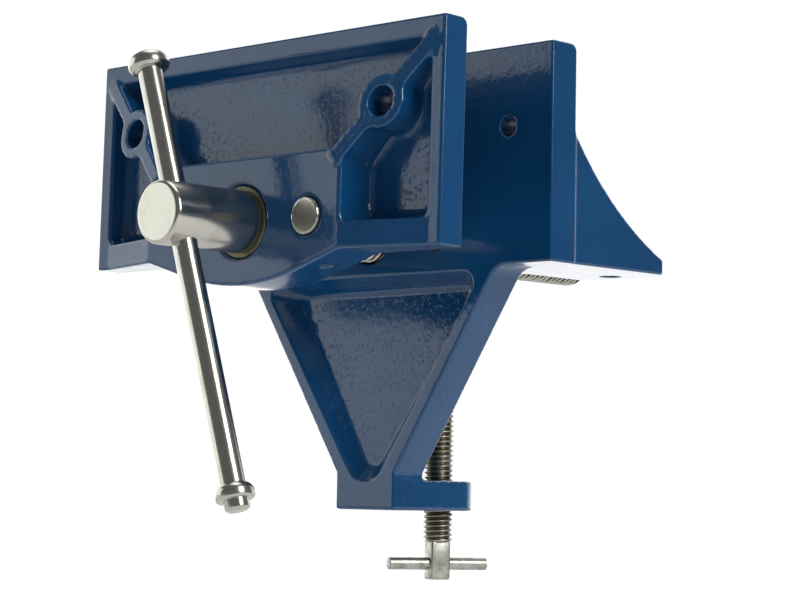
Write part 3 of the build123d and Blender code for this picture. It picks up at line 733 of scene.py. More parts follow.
for side, node_name in ((-1, "rod_pin_left"), (1, "rod_pin_right")):
    low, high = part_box(node_name)
    length = high[2] - low[2]
    profile = [
        (0.0, 0.0),
        (PIN_DOME * 0.1, PIN_RADIUS * 0.4),
        (PIN_DOME * 0.4, PIN_RADIUS * 0.75),
        (PIN_DOME, PIN_RADIUS),
        (length, PIN_RADIUS),
        (length, 0.0),
    ]
    middle = (low[0] + high[0]) / 2, (low[1] + high[1]) / 2
    mesh = lathe(node_name + "_dowel", profile, (middle[0], middle[1], low[2]), UP, steps=32)
    dowel = new_object(node_name + "_dowel", mesh, oiled_steel)
    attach(dowel, "front_jaw")
    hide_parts(node_name)

# ---------------------------------------------------------------------------
# Thrust washer: a bronze ring in the boss's recess that the screw's head
# turns against. Grease and brown dust have gathered on it.
# ---------------------------------------------------------------------------
WASHER_EDGE = 0.0003

# Greasy bronze: dull brown-gold metal under a dark uneven film of grease.
BRONZE = "#6A6857"
GREASE = "#302F28"
GREASE_MM = 2.2

greasy_bronze, tree, output = new_material("greasy_bronze")
place = add(tree, "ShaderNodeTexCoord").outputs["Object"]
film = add(
    tree,
    "ShaderNodeTexNoise",
    inputs={"Scale": 1000 / GREASE_MM, "Detail": 5.0},
    links={"Vector": place},
)
film_mask = add(
    tree,
    "ShaderNodeMapRange",
    {"interpolation_type": "SMOOTHSTEP"},
    {"From Min": 0.42, "From Max": 0.75},
    {"Value": film.outputs["Fac"]},
)
colour = add(
    tree,
    "ShaderNodeMix",
    {"data_type": "RGBA"},
    {6: linear(BRONZE), 7: linear(GREASE)},
    {0: film_mask.outputs["Result"]},
)
metal = add(
    tree,
    "ShaderNodeMapRange",
    inputs={"To Min": 1.0, "To Max": 0.1},
    links={"Value": film_mask.outputs["Result"]},
)
film_bump = add(
    tree,
    "ShaderNodeBump",
    inputs={"Strength": 0.4, "Distance": 0.0002},
    links={"Height": film.outputs["Fac"]},
)
shader = add(
    tree,
    "ShaderNodeBsdfPrincipled",
    inputs={"Roughness": 0.42},
    links={
        "Base Color": colour.outputs[2],
        "Metallic": metal.outputs["Result"],
        "Normal": film_bump.outputs["Normal"],
    },
)
tree.links.new(shader.outputs["BSDF"], output.inputs["Surface"])

low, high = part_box("thrust_washer")
thick = high[1] - low[1]
outer = (high[0] - low[0]) / 2
inner = SCREW_FIT
profile = [
    (0.0, inner),
    (0.0, outer - WASHER_EDGE),
    (WASHER_EDGE, outer),
    (thick - WASHER_EDGE, outer),
    (thick, outer - WASHER_EDGE),
    (thick, inner),
]
mesh = lathe("thrust_washer_ring", profile, (0, low[1], SCREW_Z), ALONG_Y, steps=96)
washer = new_object("thrust_washer_ring", mesh, greasy_bronze)
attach(washer, "front_jaw")
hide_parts("thrust_washer")

# ---------------------------------------------------------------------------
# Main nut: a square steel nut slipped up into its pocket in the rear casting.
# Only its lower face can be seen, through the open underside.
# ---------------------------------------------------------------------------
NUT_CORNER = 0.0009
NUT_BORE = 0.0080


def block(name, size, middle, turned=0.0):
    """A plain box, turned about its upright axis."""
    shape = bmesh.new()
    bmesh.ops.create_cube(shape, size=1.0)
    bmesh.ops.scale(shape, vec=size, verts=shape.verts)
    bmesh.ops.rotate(shape, matrix=Matrix.Rotation(turned, 3, "Z"), verts=shape.verts)
    bmesh.ops.translate(shape, vec=middle, verts=shape.verts)
    mesh = bpy.data.meshes.new(name)
    shape.to_mesh(mesh)
    shape.free()
    return mesh


def drilled(name, mesh, radius, start, end, place, direction):
    """A mesh with a round hole through it, from start to end along a line."""
    body = new_object(name, mesh)
    profile = [(start, 0.0), (start, radius), (end, radius), (end, 0.0)]
    drill = new_object(name + "_drill", lathe(name + "_drill", profile, place, direction))
    cut = body.modifiers.new("hole", "BOOLEAN")
    cut.operation = "DIFFERENCE"
    cut.solver = "EXACT"
    cut.object = drill
    cut_mesh = applied(body)
    bpy.data.objects.remove(body)
    bpy.data.objects.remove(drill)
    return cut_mesh


def broken_corners(name, mesh, width, segments=2):
    """A mesh with its corners broken by a real width."""
    body = new_object(name, mesh)
    bevel = body.modifiers.new("broken_corners", "BEVEL")
    bevel.width = width
    bevel.segments = segments
    bevel.limit_method = "ANGLE"
    bevel.angle_limit = math.radians(30)
    broken = applied(body)
    bpy.data.objects.remove(body)
    broken.shade_smooth()
    broken.set_sharp_from_angle(angle=math.radians(50))
    return broken


low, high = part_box("main_nut")
nut_middle = [(a + b) / 2 for a, b in zip(low, high)]
nut_size = [b - a for a, b in zip(low, high)]
nut_block = block("square_nut", nut_size, nut_middle)
nut_bored = drilled("square_nut", nut_block, NUT_BORE, -0.002, 0.02, (0, low[1], SCREW_Z), ALONG_Y)
nut = new_object("square_nut", broken_corners("square_nut", nut_bored, NUT_CORNER), oiled_steel)
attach(nut, "bench_body")
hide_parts("main_nut")

# ---------------------------------------------------------------------------
# Main screw: one bar of steel turned to a plain head and journal, then cut
# with a coarse right-hand thread to its tail. The head is cross-drilled for
# the handle bar. Its thread roots are painted darker: old oil and painted shade.
# ---------------------------------------------------------------------------
SCREW_RADIUS = 0.00794
SCREW_PITCH = 0.002309
SCREW_DEPTH = 0.00140
JOURNAL_END = -0.0375
HEAD_RADIUS = 0.0095
HEAD_FRONT = -0.0878
HEAD_ROUND = 0.0014
HEAD_RINGS = 13
HEAD_RING_DEPTH = 0.00003
HEAD_BREAK = 0.0003
SCREW_SEGMENTS = 56
BAR_HOLE = 0.00378
BAR_PLACE = Vector((0.0, -0.0794, SCREW_Z))
BAR_TILT = math.radians(18.4)
BAR_AXIS = Vector((-math.sin(BAR_TILT), 0.0, math.cos(BAR_TILT)))
ROWS_PER_TURN = 8
GROOVE_SHARPNESS = 0.85

# Clearance between the head and the washer that it turns against
HEAD_GAP = 0.00003


def thread_tree():
    """A Geometry Nodes tree that winds a right-hand thread up +Z, with both ends chamfered and closed."""
    group = bpy.data.node_groups.new("cut_thread", "GeometryNodeTree")
    for name, kind in (
        ("Major Radius", "NodeSocketFloat"),
        ("Thread Depth", "NodeSocketFloat"),
        ("Pitch", "NodeSocketFloat"),
        ("Length", "NodeSocketFloat"),
        ("Turn Segments", "NodeSocketInt"),
        ("Material", "NodeSocketMaterial"),
    ):
        group.interface.new_socket(name, in_out="INPUT", socket_type=kind)
    group.interface.new_socket("Geometry", in_out="OUTPUT", socket_type="NodeSocketGeometry")
    sizes = add(group, "NodeGroupInput")
    result = add(group, "NodeGroupOutput")

    def calc(operation, first, second=None, third=None):
        node = add(group, "ShaderNodeMath", {"operation": operation})
        for index, value in enumerate((first, second, third)):
            if value is None:
                continue
            if isinstance(value, (int, float)):
                node.inputs[index].default_value = value
            else:
                group.links.new(value, node.inputs[index])
        return node.outputs[0]

    major = sizes.outputs["Major Radius"]
    depth = sizes.outputs["Thread Depth"]
    pitch = sizes.outputs["Pitch"]
    length = sizes.outputs["Length"]
    turns = calc("CEIL", calc("DIVIDE", length, pitch))
    row_steps = calc("MULTIPLY", calc("ADD", turns, 2.0), float(ROWS_PER_TURN))
    rows = calc("ADD", row_steps, 1.0)
    columns = calc("ADD", sizes.outputs["Turn Segments"], 1.0)
    grid = add(group, "GeometryNodeMeshGrid", inputs={"Size X": 1.0, "Size Y": 1.0})
    group.links.new(columns, grid.inputs["Vertices X"])
    group.links.new(rows, grid.inputs["Vertices Y"])
    flat = add(group, "ShaderNodeSeparateXYZ", links={0: add(group, "GeometryNodeInputPosition").outputs[0]})
    turn_share = calc("ADD", flat.outputs["X"], 0.5)
    row = calc("ROUND", calc("MULTIPLY", calc("ADD", flat.outputs["Y"], 0.5), row_steps))
    row_turn = calc("DIVIDE", row, float(ROWS_PER_TURN))
    raw = calc("MULTIPLY", calc("SUBTRACT", calc("ADD", row_turn, turn_share), 1.0), pitch)
    along = calc("MINIMUM", calc("MAXIMUM", raw, 0.0), length)
    # A rounded vee: half the pitch near the root, a narrow crest
    wave = calc("COSINE", calc("MULTIPLY", row_turn, 2 * math.pi))
    groove = calc("POWER", calc("MULTIPLY_ADD", wave, 0.5, 0.5), GROOVE_SHARPNESS)
    cut = calc("MULTIPLY_ADD", calc("MULTIPLY", groove, depth), -1.0, major)
    from_end = calc("MINIMUM", along, calc("SUBTRACT", length, along))
    end_limit = calc("ADD", calc("SUBTRACT", major, depth), from_end)
    body = calc("MINIMUM", cut, end_limit)
    beyond = calc("GREATER_THAN", calc("ABSOLUTE", calc("SUBTRACT", raw, along)), 1e-7)
    radius = calc("MULTIPLY", body, calc("SUBTRACT", 1.0, beyond))
    angle = calc("MULTIPLY", turn_share, 2 * math.pi)
    spot = add(
        group,
        "ShaderNodeCombineXYZ",
        links={
            0: calc("MULTIPLY", radius, calc("COSINE", angle)),
            1: calc("MULTIPLY", radius, calc("SINE", angle)),
            2: along,
        },
    )
    named = add(
        group,
        "GeometryNodeStoreNamedAttribute",
        {"data_type": "FLOAT", "domain": "POINT"},
        {"Name": "groove"},
        {"Geometry": grid.outputs["Mesh"], "Value": groove},
    )
    wound = add(
        group,
        "GeometryNodeSetPosition",
        links={"Geometry": named.outputs["Geometry"], "Position": spot.outputs[0]},
    )
    welded = add(
        group,
        "GeometryNodeMergeByDistance",
        inputs={"Distance": 2e-6},
        links={"Geometry": wound.outputs["Geometry"]},
    )
    smooth = add(group, "GeometryNodeSetShadeSmooth", links={"Geometry": welded.outputs["Geometry"]})
    real = add(group, "GeometryNodeRealizeInstances", links={"Geometry": smooth.outputs["Geometry"]})
    painted = add(
        group,
        "GeometryNodeSetMaterial",
        links={"Geometry": real.outputs["Geometry"], "Material": sizes.outputs["Material"]},
    )
    group.links.new(painted.outputs["Geometry"], result.inputs["Geometry"])
    return group


cut_thread = thread_tree()


def threaded(name, radius, depth, pitch, length, segments, material, lay):
    """A threaded bar from the tree, as a plain mesh laid in place."""
    carrier = new_object(name + "_carrier", bpy.data.meshes.new(name + "_carrier"))
    winding = carrier.modifiers.new("thread", "NODES")
    winding.node_group = cut_thread
    values = {
        "Major Radius": radius,
        "Thread Depth": depth,
        "Pitch": pitch,
        "Length": length,
        "Turn Segments": segments,
        "Material": material,
    }
    for socket in cut_thread.interface.items_tree:
        if socket.in_out == "INPUT":
            winding[socket.identifier] = values[socket.name]
    mesh = applied(carrier)
    bpy.data.objects.remove(carrier)
    mesh.polygons.foreach_set("material_index", [0] * len(mesh.polygons))
    mesh.materials.clear()
    mesh.materials.append(material)
    mesh.transform(lay)
    return mesh


def one_mesh(name, meshes):
    """Several meshes of one piece, with their attributes and materials, as one."""
    parts = [new_object(f"{name}_{index}", mesh) for index, mesh in enumerate(meshes)]
    with bpy.context.temp_override(
        active_object=parts[0],
        object=parts[0],
        selected_objects=parts,
        selected_editable_objects=parts,
    ):
        bpy.ops.object.join()
    joined = parts[0].data
    joined.name = name
    bpy.data.objects.remove(parts[0])
    return joined


# Cut thread, bright on the crests where it has run in the nut, brown-black in the roots: old oil in patches,
# and painted shade in the roots.
CREST = "#C4C2B8"
ROOT_OIL_AND_SHADE = "#1D1A15"
OIL_DIRT_MM = 3.0
SCRATCH_MM = 0.4

cut_steel, tree, output = new_material("cut_steel_thread")
place = add(tree, "ShaderNodeTexCoord").outputs["Object"]
groove = add(tree, "ShaderNodeAttribute", {"attribute_name": "groove"}).outputs["Fac"]
dirt = add(
    tree,
    "ShaderNodeTexNoise",
    inputs={"Scale": 1000 / OIL_DIRT_MM, "Detail": 4.0},
    links={"Vector": place},
)
# The roots are darkened where the oil noise is high: painted shade in the thread roots, broken into oil
# patches.
oil_and_root_shade = add(tree, "ShaderNodeMath", {"operation": "MULTIPLY"}, links={0: groove, 1: dirt.outputs["Fac"]})
oil_and_root_shade_mask = add(
    tree,
    "ShaderNodeMapRange",
    {"interpolation_type": "SMOOTHSTEP"},
    {"From Min": 0.10, "From Max": 0.28},
    {"Value": oil_and_root_shade.outputs[0]},
)
colour = add(
    tree,
    "ShaderNodeMix",
    {"data_type": "RGBA"},
    {6: linear(CREST), 7: linear(ROOT_OIL_AND_SHADE)},
    {0: oil_and_root_shade_mask.outputs["Result"]},
)
gloss = add(
    tree,
    "ShaderNodeMapRange",
    inputs={"To Min": 0.22, "To Max": 0.5},
    links={"Value": oil_and_root_shade_mask.outputs["Result"]},
)
scratch = add(
    tree,
    "ShaderNodeTexNoise",
    inputs={"Scale": 1000 / SCRATCH_MM, "Detail": 2.0},
    links={"Vector": place},
)
scratch_bump = add(
    tree,
    "ShaderNodeBump",
    inputs={"Strength": 0.15, "Distance": 0.00005},
    links={"Height": scratch.outputs["Fac"]},
)
shader = add(
    tree,
    "ShaderNodeBsdfPrincipled",
    inputs={"Metallic": 1.0},
    links={
        "Base Color": colour.outputs[2],
        "Roughness": gloss.outputs["Result"],
        "Normal": scratch_bump.outputs["Normal"],
    },
)
tree.links.new(shader.outputs["BSDF"], output.inputs["Surface"])

screw_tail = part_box("main_screw")[1][1]
along_screw = Vector(ALONG_Y).to_track_quat("Z", "Y").to_matrix().to_4x4()
thread_mesh = threaded(
    "main_thread",
    SCREW_RADIUS,
    SCREW_DEPTH,
    SCREW_PITCH,
    screw_tail - JOURNAL_END,
    SCREW_SEGMENTS,
    cut_steel,
    Matrix.Translation((0, JOURNAL_END, SCREW_Z)) @ along_screw,
)
washer_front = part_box("thrust_washer")[0][1]
head_length = washer_front - HEAD_GAP - HEAD_FRONT
profile = [(0.0, 0.0)]
for ring in range(1, HEAD_RINGS):
    radius = (HEAD_RADIUS - HEAD_ROUND) * ring / HEAD_RINGS
    profile.append((HEAD_RING_DEPTH if ring % 3 == 1 else 0.0, radius))
profile.append((0.0, HEAD_RADIUS - HEAD_ROUND))
for step in range(1, 7):
    angle = math.pi / 2 * step / 6
    profile.append((HEAD_ROUND * (1 - math.cos(angle)), HEAD_RADIUS - HEAD_ROUND * (1 - math.sin(angle))))
profile += [
    (head_length - HEAD_BREAK, HEAD_RADIUS),
    (head_length, HEAD_RADIUS - HEAD_BREAK),
    (head_length, SCREW_RADIUS),
    (JOURNAL_END - HEAD_FRONT, SCREW_RADIUS),
    (JOURNAL_END - HEAD_FRONT, 0.0),
]
head_turned = lathe("screw_head", profile, (0, HEAD_FRONT, SCREW_Z), ALONG_Y, steps=96)
head_mesh = drilled("screw_head", head_turned, BAR_HOLE, -0.015, 0.015, BAR_PLACE, BAR_AXIS)
head_mesh.materials.clear()
head_mesh.materials.append(turned_steel)
head_mesh.shade_smooth()
head_mesh.set_sharp_from_angle(angle=math.radians(40))
screw = new_object("main_screw_turned", one_mesh("main_screw_turned", [head_mesh, thread_mesh]))
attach(screw, "jaw_screw")
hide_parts("main_screw")

# ---------------------------------------------------------------------------
# Retaining collar and its pin: a plain steel ring behind the front jaw, cross
# pinned to the screw so that the screw also draws the jaw open.
# ---------------------------------------------------------------------------
COLLAR_EDGE = 0.0004
COLLAR_FIT = 0.00002
PIN_BREAK = 0.0002
low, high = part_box("retaining_collar")
collar_length = high[1] - low[1]
collar_outer = (high[0] - low[0]) / 2
collar_inner = SCREW_RADIUS + COLLAR_FIT
profile = [
    (0.0, collar_inner),
    (0.0, collar_outer - COLLAR_EDGE),
    (COLLAR_EDGE, collar_outer),
    (collar_length - COLLAR_EDGE, collar_outer),
    (collar_length, collar_outer - COLLAR_EDGE),
    (collar_length, collar_inner),
]
mesh = lathe("retaining_collar_ring", profile, (0, low[1], SCREW_Z), ALONG_Y, steps=80)
collar = new_object("retaining_collar_ring", mesh, oiled_steel)
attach(collar, "jaw_screw")
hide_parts("retaining_collar")

low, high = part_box("collar_pin")
pin_length = high[0] - low[0]
pin_radius = (high[2] - low[2]) / 2
profile = [
    (0.0, 0.0),
    (0.0, pin_radius * 0.8),
    (PIN_BREAK, pin_radius),
    (pin_length - PIN_BREAK, pin_radius),
    (pin_length, pin_radius * 0.8),
    (pin_length, 0.0),
]
mesh = lathe("collar_pin_dowel", profile, (low[0], (low[1] + high[1]) / 2, SCREW_Z), (1, 0, 0), steps=32)
collar_dowel = new_object("collar_pin_dowel", mesh, oiled_steel)
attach(collar_dowel, "jaw_screw")
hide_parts("collar_pin")

# ---------------------------------------------------------------------------
# Handle bar: bright drawn steel rod that slides through the head, with a ball
# pressed on its upper end and a collar riveted on its lower end.
# ---------------------------------------------------------------------------
BAR_RADIUS = 0.0037
BAR_UP = 0.0462
BAR_DOWN = 0.0826
BAR_IN_BALL = 0.004
BALL_RADIUS = 0.0062
BALL_LENGTH = 0.0061
BALL_CROWN = 0.0006
BALL_ROUND = 0.0029
BALL_LIP = 0.0045
BALL_FIT = 0.0001
RIVET_RADIUS = 0.0057
RIVET_LENGTH = 0.0047
RIVET_STUB = 0.0033
RIVET_CHAMFER = 0.0008
RIVET_LIP = 0.0042
RIVET_GAP = 0.00015
RIVET_ROUND = 0.0026
RIVET_FOOT = 0.0006
bar_end = BAR_DOWN + RIVET_LENGTH + RIVET_STUB
profile = [
    (-bar_end, 0.0),
    (-bar_end + RIVET_CHAMFER / 10, BAR_RADIUS - RIVET_CHAMFER * 2.2),
    (-bar_end + RIVET_CHAMFER * 5 / 16, BAR_RADIUS - RIVET_CHAMFER),
    (-bar_end + RIVET_CHAMFER, BAR_RADIUS - RIVET_CHAMFER / 8),
    (-bar_end + RIVET_CHAMFER * 1.5, BAR_RADIUS),
    (-BAR_DOWN, BAR_RADIUS),
    (-BAR_DOWN / 2, BAR_RADIUS),
    (0.0, BAR_RADIUS),
    (BAR_UP / 2, BAR_RADIUS),
    (BAR_UP + BAR_IN_BALL, BAR_RADIUS),
    (BAR_UP + BAR_IN_BALL, 0.0),
]
mesh = lathe("handle_bar_rod", profile, BAR_PLACE, BAR_AXIS, steps=72)
handle_bar = new_object("handle_bar_rod", mesh, turned_steel)
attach(handle_bar, "handle")
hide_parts("tommy_bar")

# The ball: an oblate knob, its underside drawn in to a lip round the bar, its top gently crowned
ball_under = BALL_RADIUS - BALL_LIP
ball_shoulder = BALL_LENGTH - BALL_CROWN
ball_rim = BALL_RADIUS - BALL_ROUND
crown_radius = (ball_rim**2 + BALL_CROWN**2) / (2 * BALL_CROWN)
ball_profile = [(0.0, 0.0), (0.0, BALL_LIP - BALL_FIT)]
for step in range(9):
    angle = math.pi / 2 * step / 8
    along = ball_under * (1 - math.cos(angle)) + BALL_FIT
    ball_profile.append((along, BALL_LIP + ball_under * math.sin(angle)))
for step in range(13):
    angle = math.pi / 2 * step / 12
    along = ball_shoulder - BALL_ROUND * (1 - math.sin(angle))
    ball_profile.append((along, ball_rim + BALL_ROUND * math.cos(angle)))
for step in range(1, 5):
    radius = ball_rim * (1 - step / 4)
    ball_profile.append((BALL_LENGTH - crown_radius + (crown_radius**2 - radius**2) ** 0.5, radius))
mesh = lathe("handle_ball", ball_profile, BAR_PLACE + BAR_AXIS * BAR_UP, BAR_AXIS, steps=72, sharp=50)
ball = new_object("handle_ball", mesh, turned_steel)
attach(ball, "handle")
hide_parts("tommy_bar_knob_upper")

# The collar: rounded on the side of the head, flat below where the bar is riveted over
round_centre = RIVET_RADIUS - RIVET_ROUND
profile = [(RIVET_GAP, 0.0), (RIVET_GAP, BAR_RADIUS), (RIVET_GAP + 0.00004, RIVET_LIP)]
start = math.acos((RIVET_LIP - round_centre) / RIVET_ROUND)
for step in range(1, 11):
    angle = start * (1 - step / 10)
    profile.append((RIVET_ROUND * (1 - math.sin(angle)), round_centre + RIVET_ROUND * math.cos(angle)))
profile += [
    (RIVET_LENGTH - RIVET_FOOT, RIVET_RADIUS),
    (RIVET_LENGTH - RIVET_FOOT / 3, RIVET_RADIUS - RIVET_FOOT / 3),
    (RIVET_LENGTH, RIVET_RADIUS - RIVET_FOOT),
    (RIVET_LENGTH, 0.0),
]
mesh = lathe("handle_riveted_collar", profile, BAR_PLACE - BAR_AXIS * BAR_DOWN, -BAR_AXIS, steps=72, sharp=50)
riveted = new_object("handle_riveted_collar", mesh, turned_steel)
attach(riveted, "handle")
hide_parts("tommy_bar_knob_lower")

# ---------------------------------------------------------------------------
# Clamp screw: zinc-plated steel threaded through the foot, its upper end a
# ball held in the pad, its lower end squared and drilled for a cross bar.
# ---------------------------------------------------------------------------
CLAMP_RADIUS = 0.0047625
CLAMP_PITCH = 0.0015875
CLAMP_DEPTH = 0.00095
CLAMP_SEGMENTS = 44
THREAD_BOTTOM = -0.0845
CLAMP_END = -0.0964
THREAD_TOP = -0.0352
SQUARE = 0.0066
SQUARE_OVERLAP = 0.0006
SQUARE_CORNER = 0.0007
NECK_RADIUS = 0.0024
NECK_LENGTH = 0.0036
NECK_ANGLE = 0.785
BALL_END = 0.0034
CROSS_TURN = math.radians(26.0)
CROSS_HEIGHT = -0.0913

# Zinc plating: bright grey-white with a faint warm bloom, and brown, mostly in the thread roots: a rust stain
# and painted shade.
ZINC = "#B9B7AF"
ZINC_BLOOM = "#8F8C80"
RUST_STAIN_AND_SHADE = "#5A4630"
BLOOM_MM = 3.0
STAIN_MM = 5.0

zinc, tree, output = new_material("stained_zinc_plate")
place = add(tree, "ShaderNodeTexCoord").outputs["Object"]
groove = add(tree, "ShaderNodeAttribute", {"attribute_name": "groove"}).outputs["Fac"]
bloom = add(
    tree,
    "ShaderNodeTexNoise",
    inputs={"Scale": 1000 / BLOOM_MM, "Detail": 4.0, "Roughness": 0.6},
    links={"Vector": place},
)
bloom_mask = add(
    tree,
    "ShaderNodeMapRange",
    inputs={"From Min": 0.4, "From Max": 0.7},
    links={"Value": bloom.outputs["Fac"]},
)
plated = add(
    tree,
    "ShaderNodeMix",
    {"data_type": "RGBA"},
    {6: linear(ZINC), 7: linear(ZINC_BLOOM)},
    {0: bloom_mask.outputs["Result"]},
)
stain_noise = add(
    tree,
    "ShaderNodeTexNoise",
    inputs={"Scale": 1000 / STAIN_MM, "Detail": 3.0},
    links={"Vector": place},
)
# Brown where the thread's roots and the stain noise meet: rust stain, and painted shade in the roots.
stain_and_shade_sum = add(
    tree,
    "ShaderNodeMath",
    {"operation": "MULTIPLY_ADD"},
    {1: 0.55},
    {0: groove, 2: stain_noise.outputs["Fac"]},
)
stain_and_shade = add(
    tree,
    "ShaderNodeMapRange",
    {"interpolation_type": "SMOOTHSTEP"},
    {"From Min": 0.66, "From Max": 1.0, "To Max": 0.9},
    {"Value": stain_and_shade_sum.outputs[0]},
)
colour = add(
    tree,
    "ShaderNodeMix",
    {"data_type": "RGBA"},
    {7: linear(RUST_STAIN_AND_SHADE)},
    {0: stain_and_shade.outputs["Result"], 6: plated.outputs[2]},
)
gloss = add(
    tree,
    "ShaderNodeMapRange",
    inputs={"To Min": 0.2, "To Max": 0.5},
    links={"Value": bloom.outputs["Fac"]},
)
bloom_bump = add(
    tree,
    "ShaderNodeBump",
    inputs={"Strength": 0.15, "Distance": 0.0001},
    links={"Height": bloom.outputs["Fac"]},
)
shader = add(
    tree,
    "ShaderNodeBsdfPrincipled",
    inputs={"Metallic": 1.0},
    links={
        "Base Color": colour.outputs[2],
        "Roughness": gloss.outputs["Result"],
        "Normal": bloom_bump.outputs["Normal"],
    },
)
tree.links.new(shader.outputs["BSDF"], output.inputs["Surface"])

clamp_thread = threaded(
    "clamp_thread",
    CLAMP_RADIUS,
    CLAMP_DEPTH,
    CLAMP_PITCH,
    THREAD_TOP - THREAD_BOTTOM,
    CLAMP_SEGMENTS,
    zinc,
    Matrix.Translation((0, CLAMP_Y, THREAD_BOTTOM)),
)
ball_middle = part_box("clamp_screw")[1][2] - BALL_END - THREAD_TOP
profile = [(0.0, 0.0), (0.0, NECK_RADIUS), (NECK_LENGTH, NECK_RADIUS)]
for step in range(8):
    angle = -NECK_ANGLE + (math.pi / 2 + NECK_ANGLE) * step / 8
    profile.append((ball_middle + BALL_END * math.sin(angle), BALL_END * math.cos(angle)))
profile.append((ball_middle + BALL_END, 0.0))
ball_end = lathe("clamp_ball_end", profile, (0, CLAMP_Y, THREAD_TOP), UP, steps=40)
ball_end.materials.append(zinc)

# The square end is filed to size, with its corners broken, and reaches a little way into the thread
square_size = (SQUARE, SQUARE, THREAD_BOTTOM - CLAMP_END + SQUARE_OVERLAP)
square_middle = (0, CLAMP_Y, (THREAD_BOTTOM + CLAMP_END + SQUARE_OVERLAP) / 2)
square_block = block("clamp_square", square_size, square_middle, -CROSS_TURN)
square_mesh = broken_corners("clamp_square", square_block, SQUARE_CORNER, segments=3)
square_mesh.materials.clear()
square_mesh.materials.append(zinc)
clamp_mesh = one_mesh("clamp_screw_plated", [clamp_thread, ball_end, square_mesh])
clamp = new_object("clamp_screw_plated", clamp_mesh)
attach(clamp, "bench_clamp")
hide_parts("clamp_screw")

# The cross bar: a short plated rod pressed through the square end, its ends faced and broken
CROSS_RADIUS = 0.002
CROSS_LENGTH = 0.034
CROSS_CHAMFER = 0.0005
CROSS_DISH = 0.00012
half = CROSS_LENGTH / 2
profile = [
    (-half + CROSS_DISH, 0.0),
    (-half, CROSS_RADIUS - CROSS_CHAMFER * 2),
    (-half + 0.0001, CROSS_RADIUS - CROSS_CHAMFER),
    (-half + CROSS_CHAMFER, CROSS_RADIUS),
    (0.0, CROSS_RADIUS),
    (half - CROSS_CHAMFER, CROSS_RADIUS),
    (half - 0.0001, CROSS_RADIUS - CROSS_CHAMFER),
    (half, CROSS_RADIUS - CROSS_CHAMFER * 2),
    (half - CROSS_DISH, 0.0),
]
cross_axis = Vector((math.sin(CROSS_TURN), math.cos(CROSS_TURN), 0.0))
mesh = lathe("clamp_cross_bar", profile, (0, CLAMP_Y, CROSS_HEIGHT), cross_axis, steps=40)
cross_bar = new_object("clamp_cross_bar", mesh, zinc)
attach(cross_bar, "bench_clamp")
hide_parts("clamp_tbar")

# ---------------------------------------------------------------------------
# Clamp pad: a turned steel foot crimped over the screw's ball, which bears up
# against the underside of the bench. Shallow rings keep it from slipping.
# ---------------------------------------------------------------------------
PAD_EDGE = 0.0004
PAD_MOUTH = 0.0026
PAD_NECK = 0.0065
PAD_RIM = 0.0028
PAD_RINGS = 4
RING_INSET = 0.0014
RING_SPACING = 0.0021
RING_WIDTH = 0.0010
RING_DEPTH = 0.0003
low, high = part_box("clamp_pad")
pad_radius = (high[0] - low[0]) / 2
pad_thick = high[2] - low[2]
profile = [
    (0.0, 0.0),
    (0.0, PAD_MOUTH),
    (0.0, PAD_NECK - PAD_EDGE),
    (PAD_EDGE / 2, PAD_NECK),
    (pad_thick - PAD_RIM - PAD_EDGE / 2, pad_radius - PAD_EDGE / 2),
    (pad_thick - PAD_RIM, pad_radius),
    (pad_thick - PAD_EDGE, pad_radius),
    (pad_thick, pad_radius - PAD_EDGE),
]
for ring in range(PAD_RINGS):
    radius = pad_radius - RING_INSET - ring * RING_SPACING
    profile += [
        (pad_thick, radius),
        (pad_thick - RING_DEPTH, radius - RING_DEPTH),
        (pad_thick - RING_DEPTH, radius - RING_WIDTH + RING_DEPTH),
        (pad_thick, radius - RING_WIDTH),
    ]
profile.append((pad_thick, 0.0))
mesh = lathe("clamp_pad_foot", profile, (0, CLAMP_Y, low[2]), UP, steps=72)
pad = new_object("clamp_pad_foot", mesh, zinc)
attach(pad, "pad")
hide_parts("clamp_pad")

# ---------------------------------------------------------------------------
# Light: broad white boxes at the left front, at the right and overhead, the
# bright backdrop behind the vise, and a dim room everywhere else.
# ---------------------------------------------------------------------------


def softbox(name, place, target, size, power, colour):
    """A rectangular area light that looks at a point."""
    data = bpy.data.lights.new(name, "AREA")
    data.shape = "RECTANGLE"
    data.size, data.size_y = size
    data.energy = power
    data.color = colour
    light = bpy.data.objects.new(name, data)
    bpy.context.scene.collection.objects.link(light)
    direction = Vector(target) - Vector(place)
    light.matrix_world = Matrix.Translation(place) @ direction.to_track_quat("-Z", "Y").to_matrix().to_4x4()


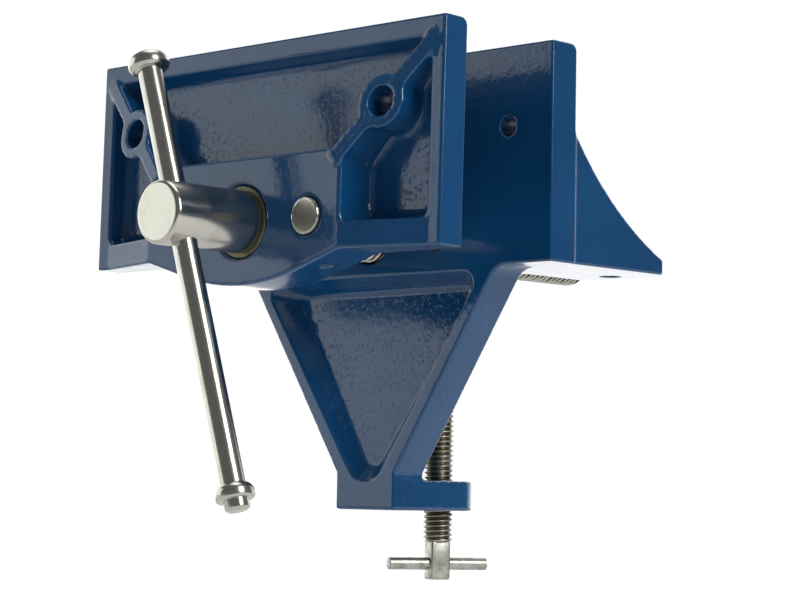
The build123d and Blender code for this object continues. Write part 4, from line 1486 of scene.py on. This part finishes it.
MIDDLE = (0.0, -0.01, 0.0)
BACKDROP_SIDE = (-0.69, 0.72, 0.0)
ROOM_GREY = "#B9BCC0"
ROOM_STRENGTH = 0.30
WALL_STRENGTH = 1.7
SEEN_STRENGTH = 1.05
softbox("left_front_box", (-1.70, -1.08, 0.38), MIDDLE, (1.5, 1.3), 8.0, (0.96, 1.0, 0.95))
softbox("right_key", (1.50, -0.10, 0.72), MIDDLE, (0.6, 0.9), 16.0, (0.98, 1.0, 0.98))
softbox("overhead", (0.0, 0.1, 1.6), MIDDLE, (1.2, 1.2), 8.0, (1.0, 1.0, 1.0))

world = bpy.data.worlds.new("studio")
world.use_nodes = True
bpy.context.scene.world = world
tree = world.node_tree
tree.nodes.clear()
output = tree.nodes.new("ShaderNodeOutputWorld")
direction = add(tree, "ShaderNodeTexCoord").outputs["Generated"]
toward_backdrop = add(
    tree,
    "ShaderNodeVectorMath",
    {"operation": "DOT_PRODUCT"},
    {1: BACKDROP_SIDE},
    {0: direction},
)
backdrop_edge = add(
    tree,
    "ShaderNodeMapRange",
    {"interpolation_type": "SMOOTHSTEP"},
    {"From Min": 0.35, "From Max": 0.75},
    {"Value": toward_backdrop.outputs["Value"]},
)
seen = add(tree, "ShaderNodeLightPath")
dim_room = add(tree, "ShaderNodeBackground", inputs={"Color": linear(ROOM_GREY), "Strength": ROOM_STRENGTH})
lit_wall = add(tree, "ShaderNodeBackground", inputs={"Color": (1, 1, 1, 1), "Strength": WALL_STRENGTH})
white = add(tree, "ShaderNodeBackground", inputs={"Color": (1, 1, 1, 1), "Strength": SEEN_STRENGTH})
room = add(
    tree,
    "ShaderNodeMixShader",
    links={0: backdrop_edge.outputs["Result"], 1: dim_room.outputs[0], 2: lit_wall.outputs[0]},
)
mix = add(
    tree,
    "ShaderNodeMixShader",
    links={0: seen.outputs["Is Camera Ray"], 1: room.outputs[0], 2: white.outputs[0]},
)
tree.links.new(mix.outputs[0], output.inputs["Surface"])
bpy.context.scene.view_settings.view_transform = "Standard"
bpy.context.scene.view_settings.look = "None"
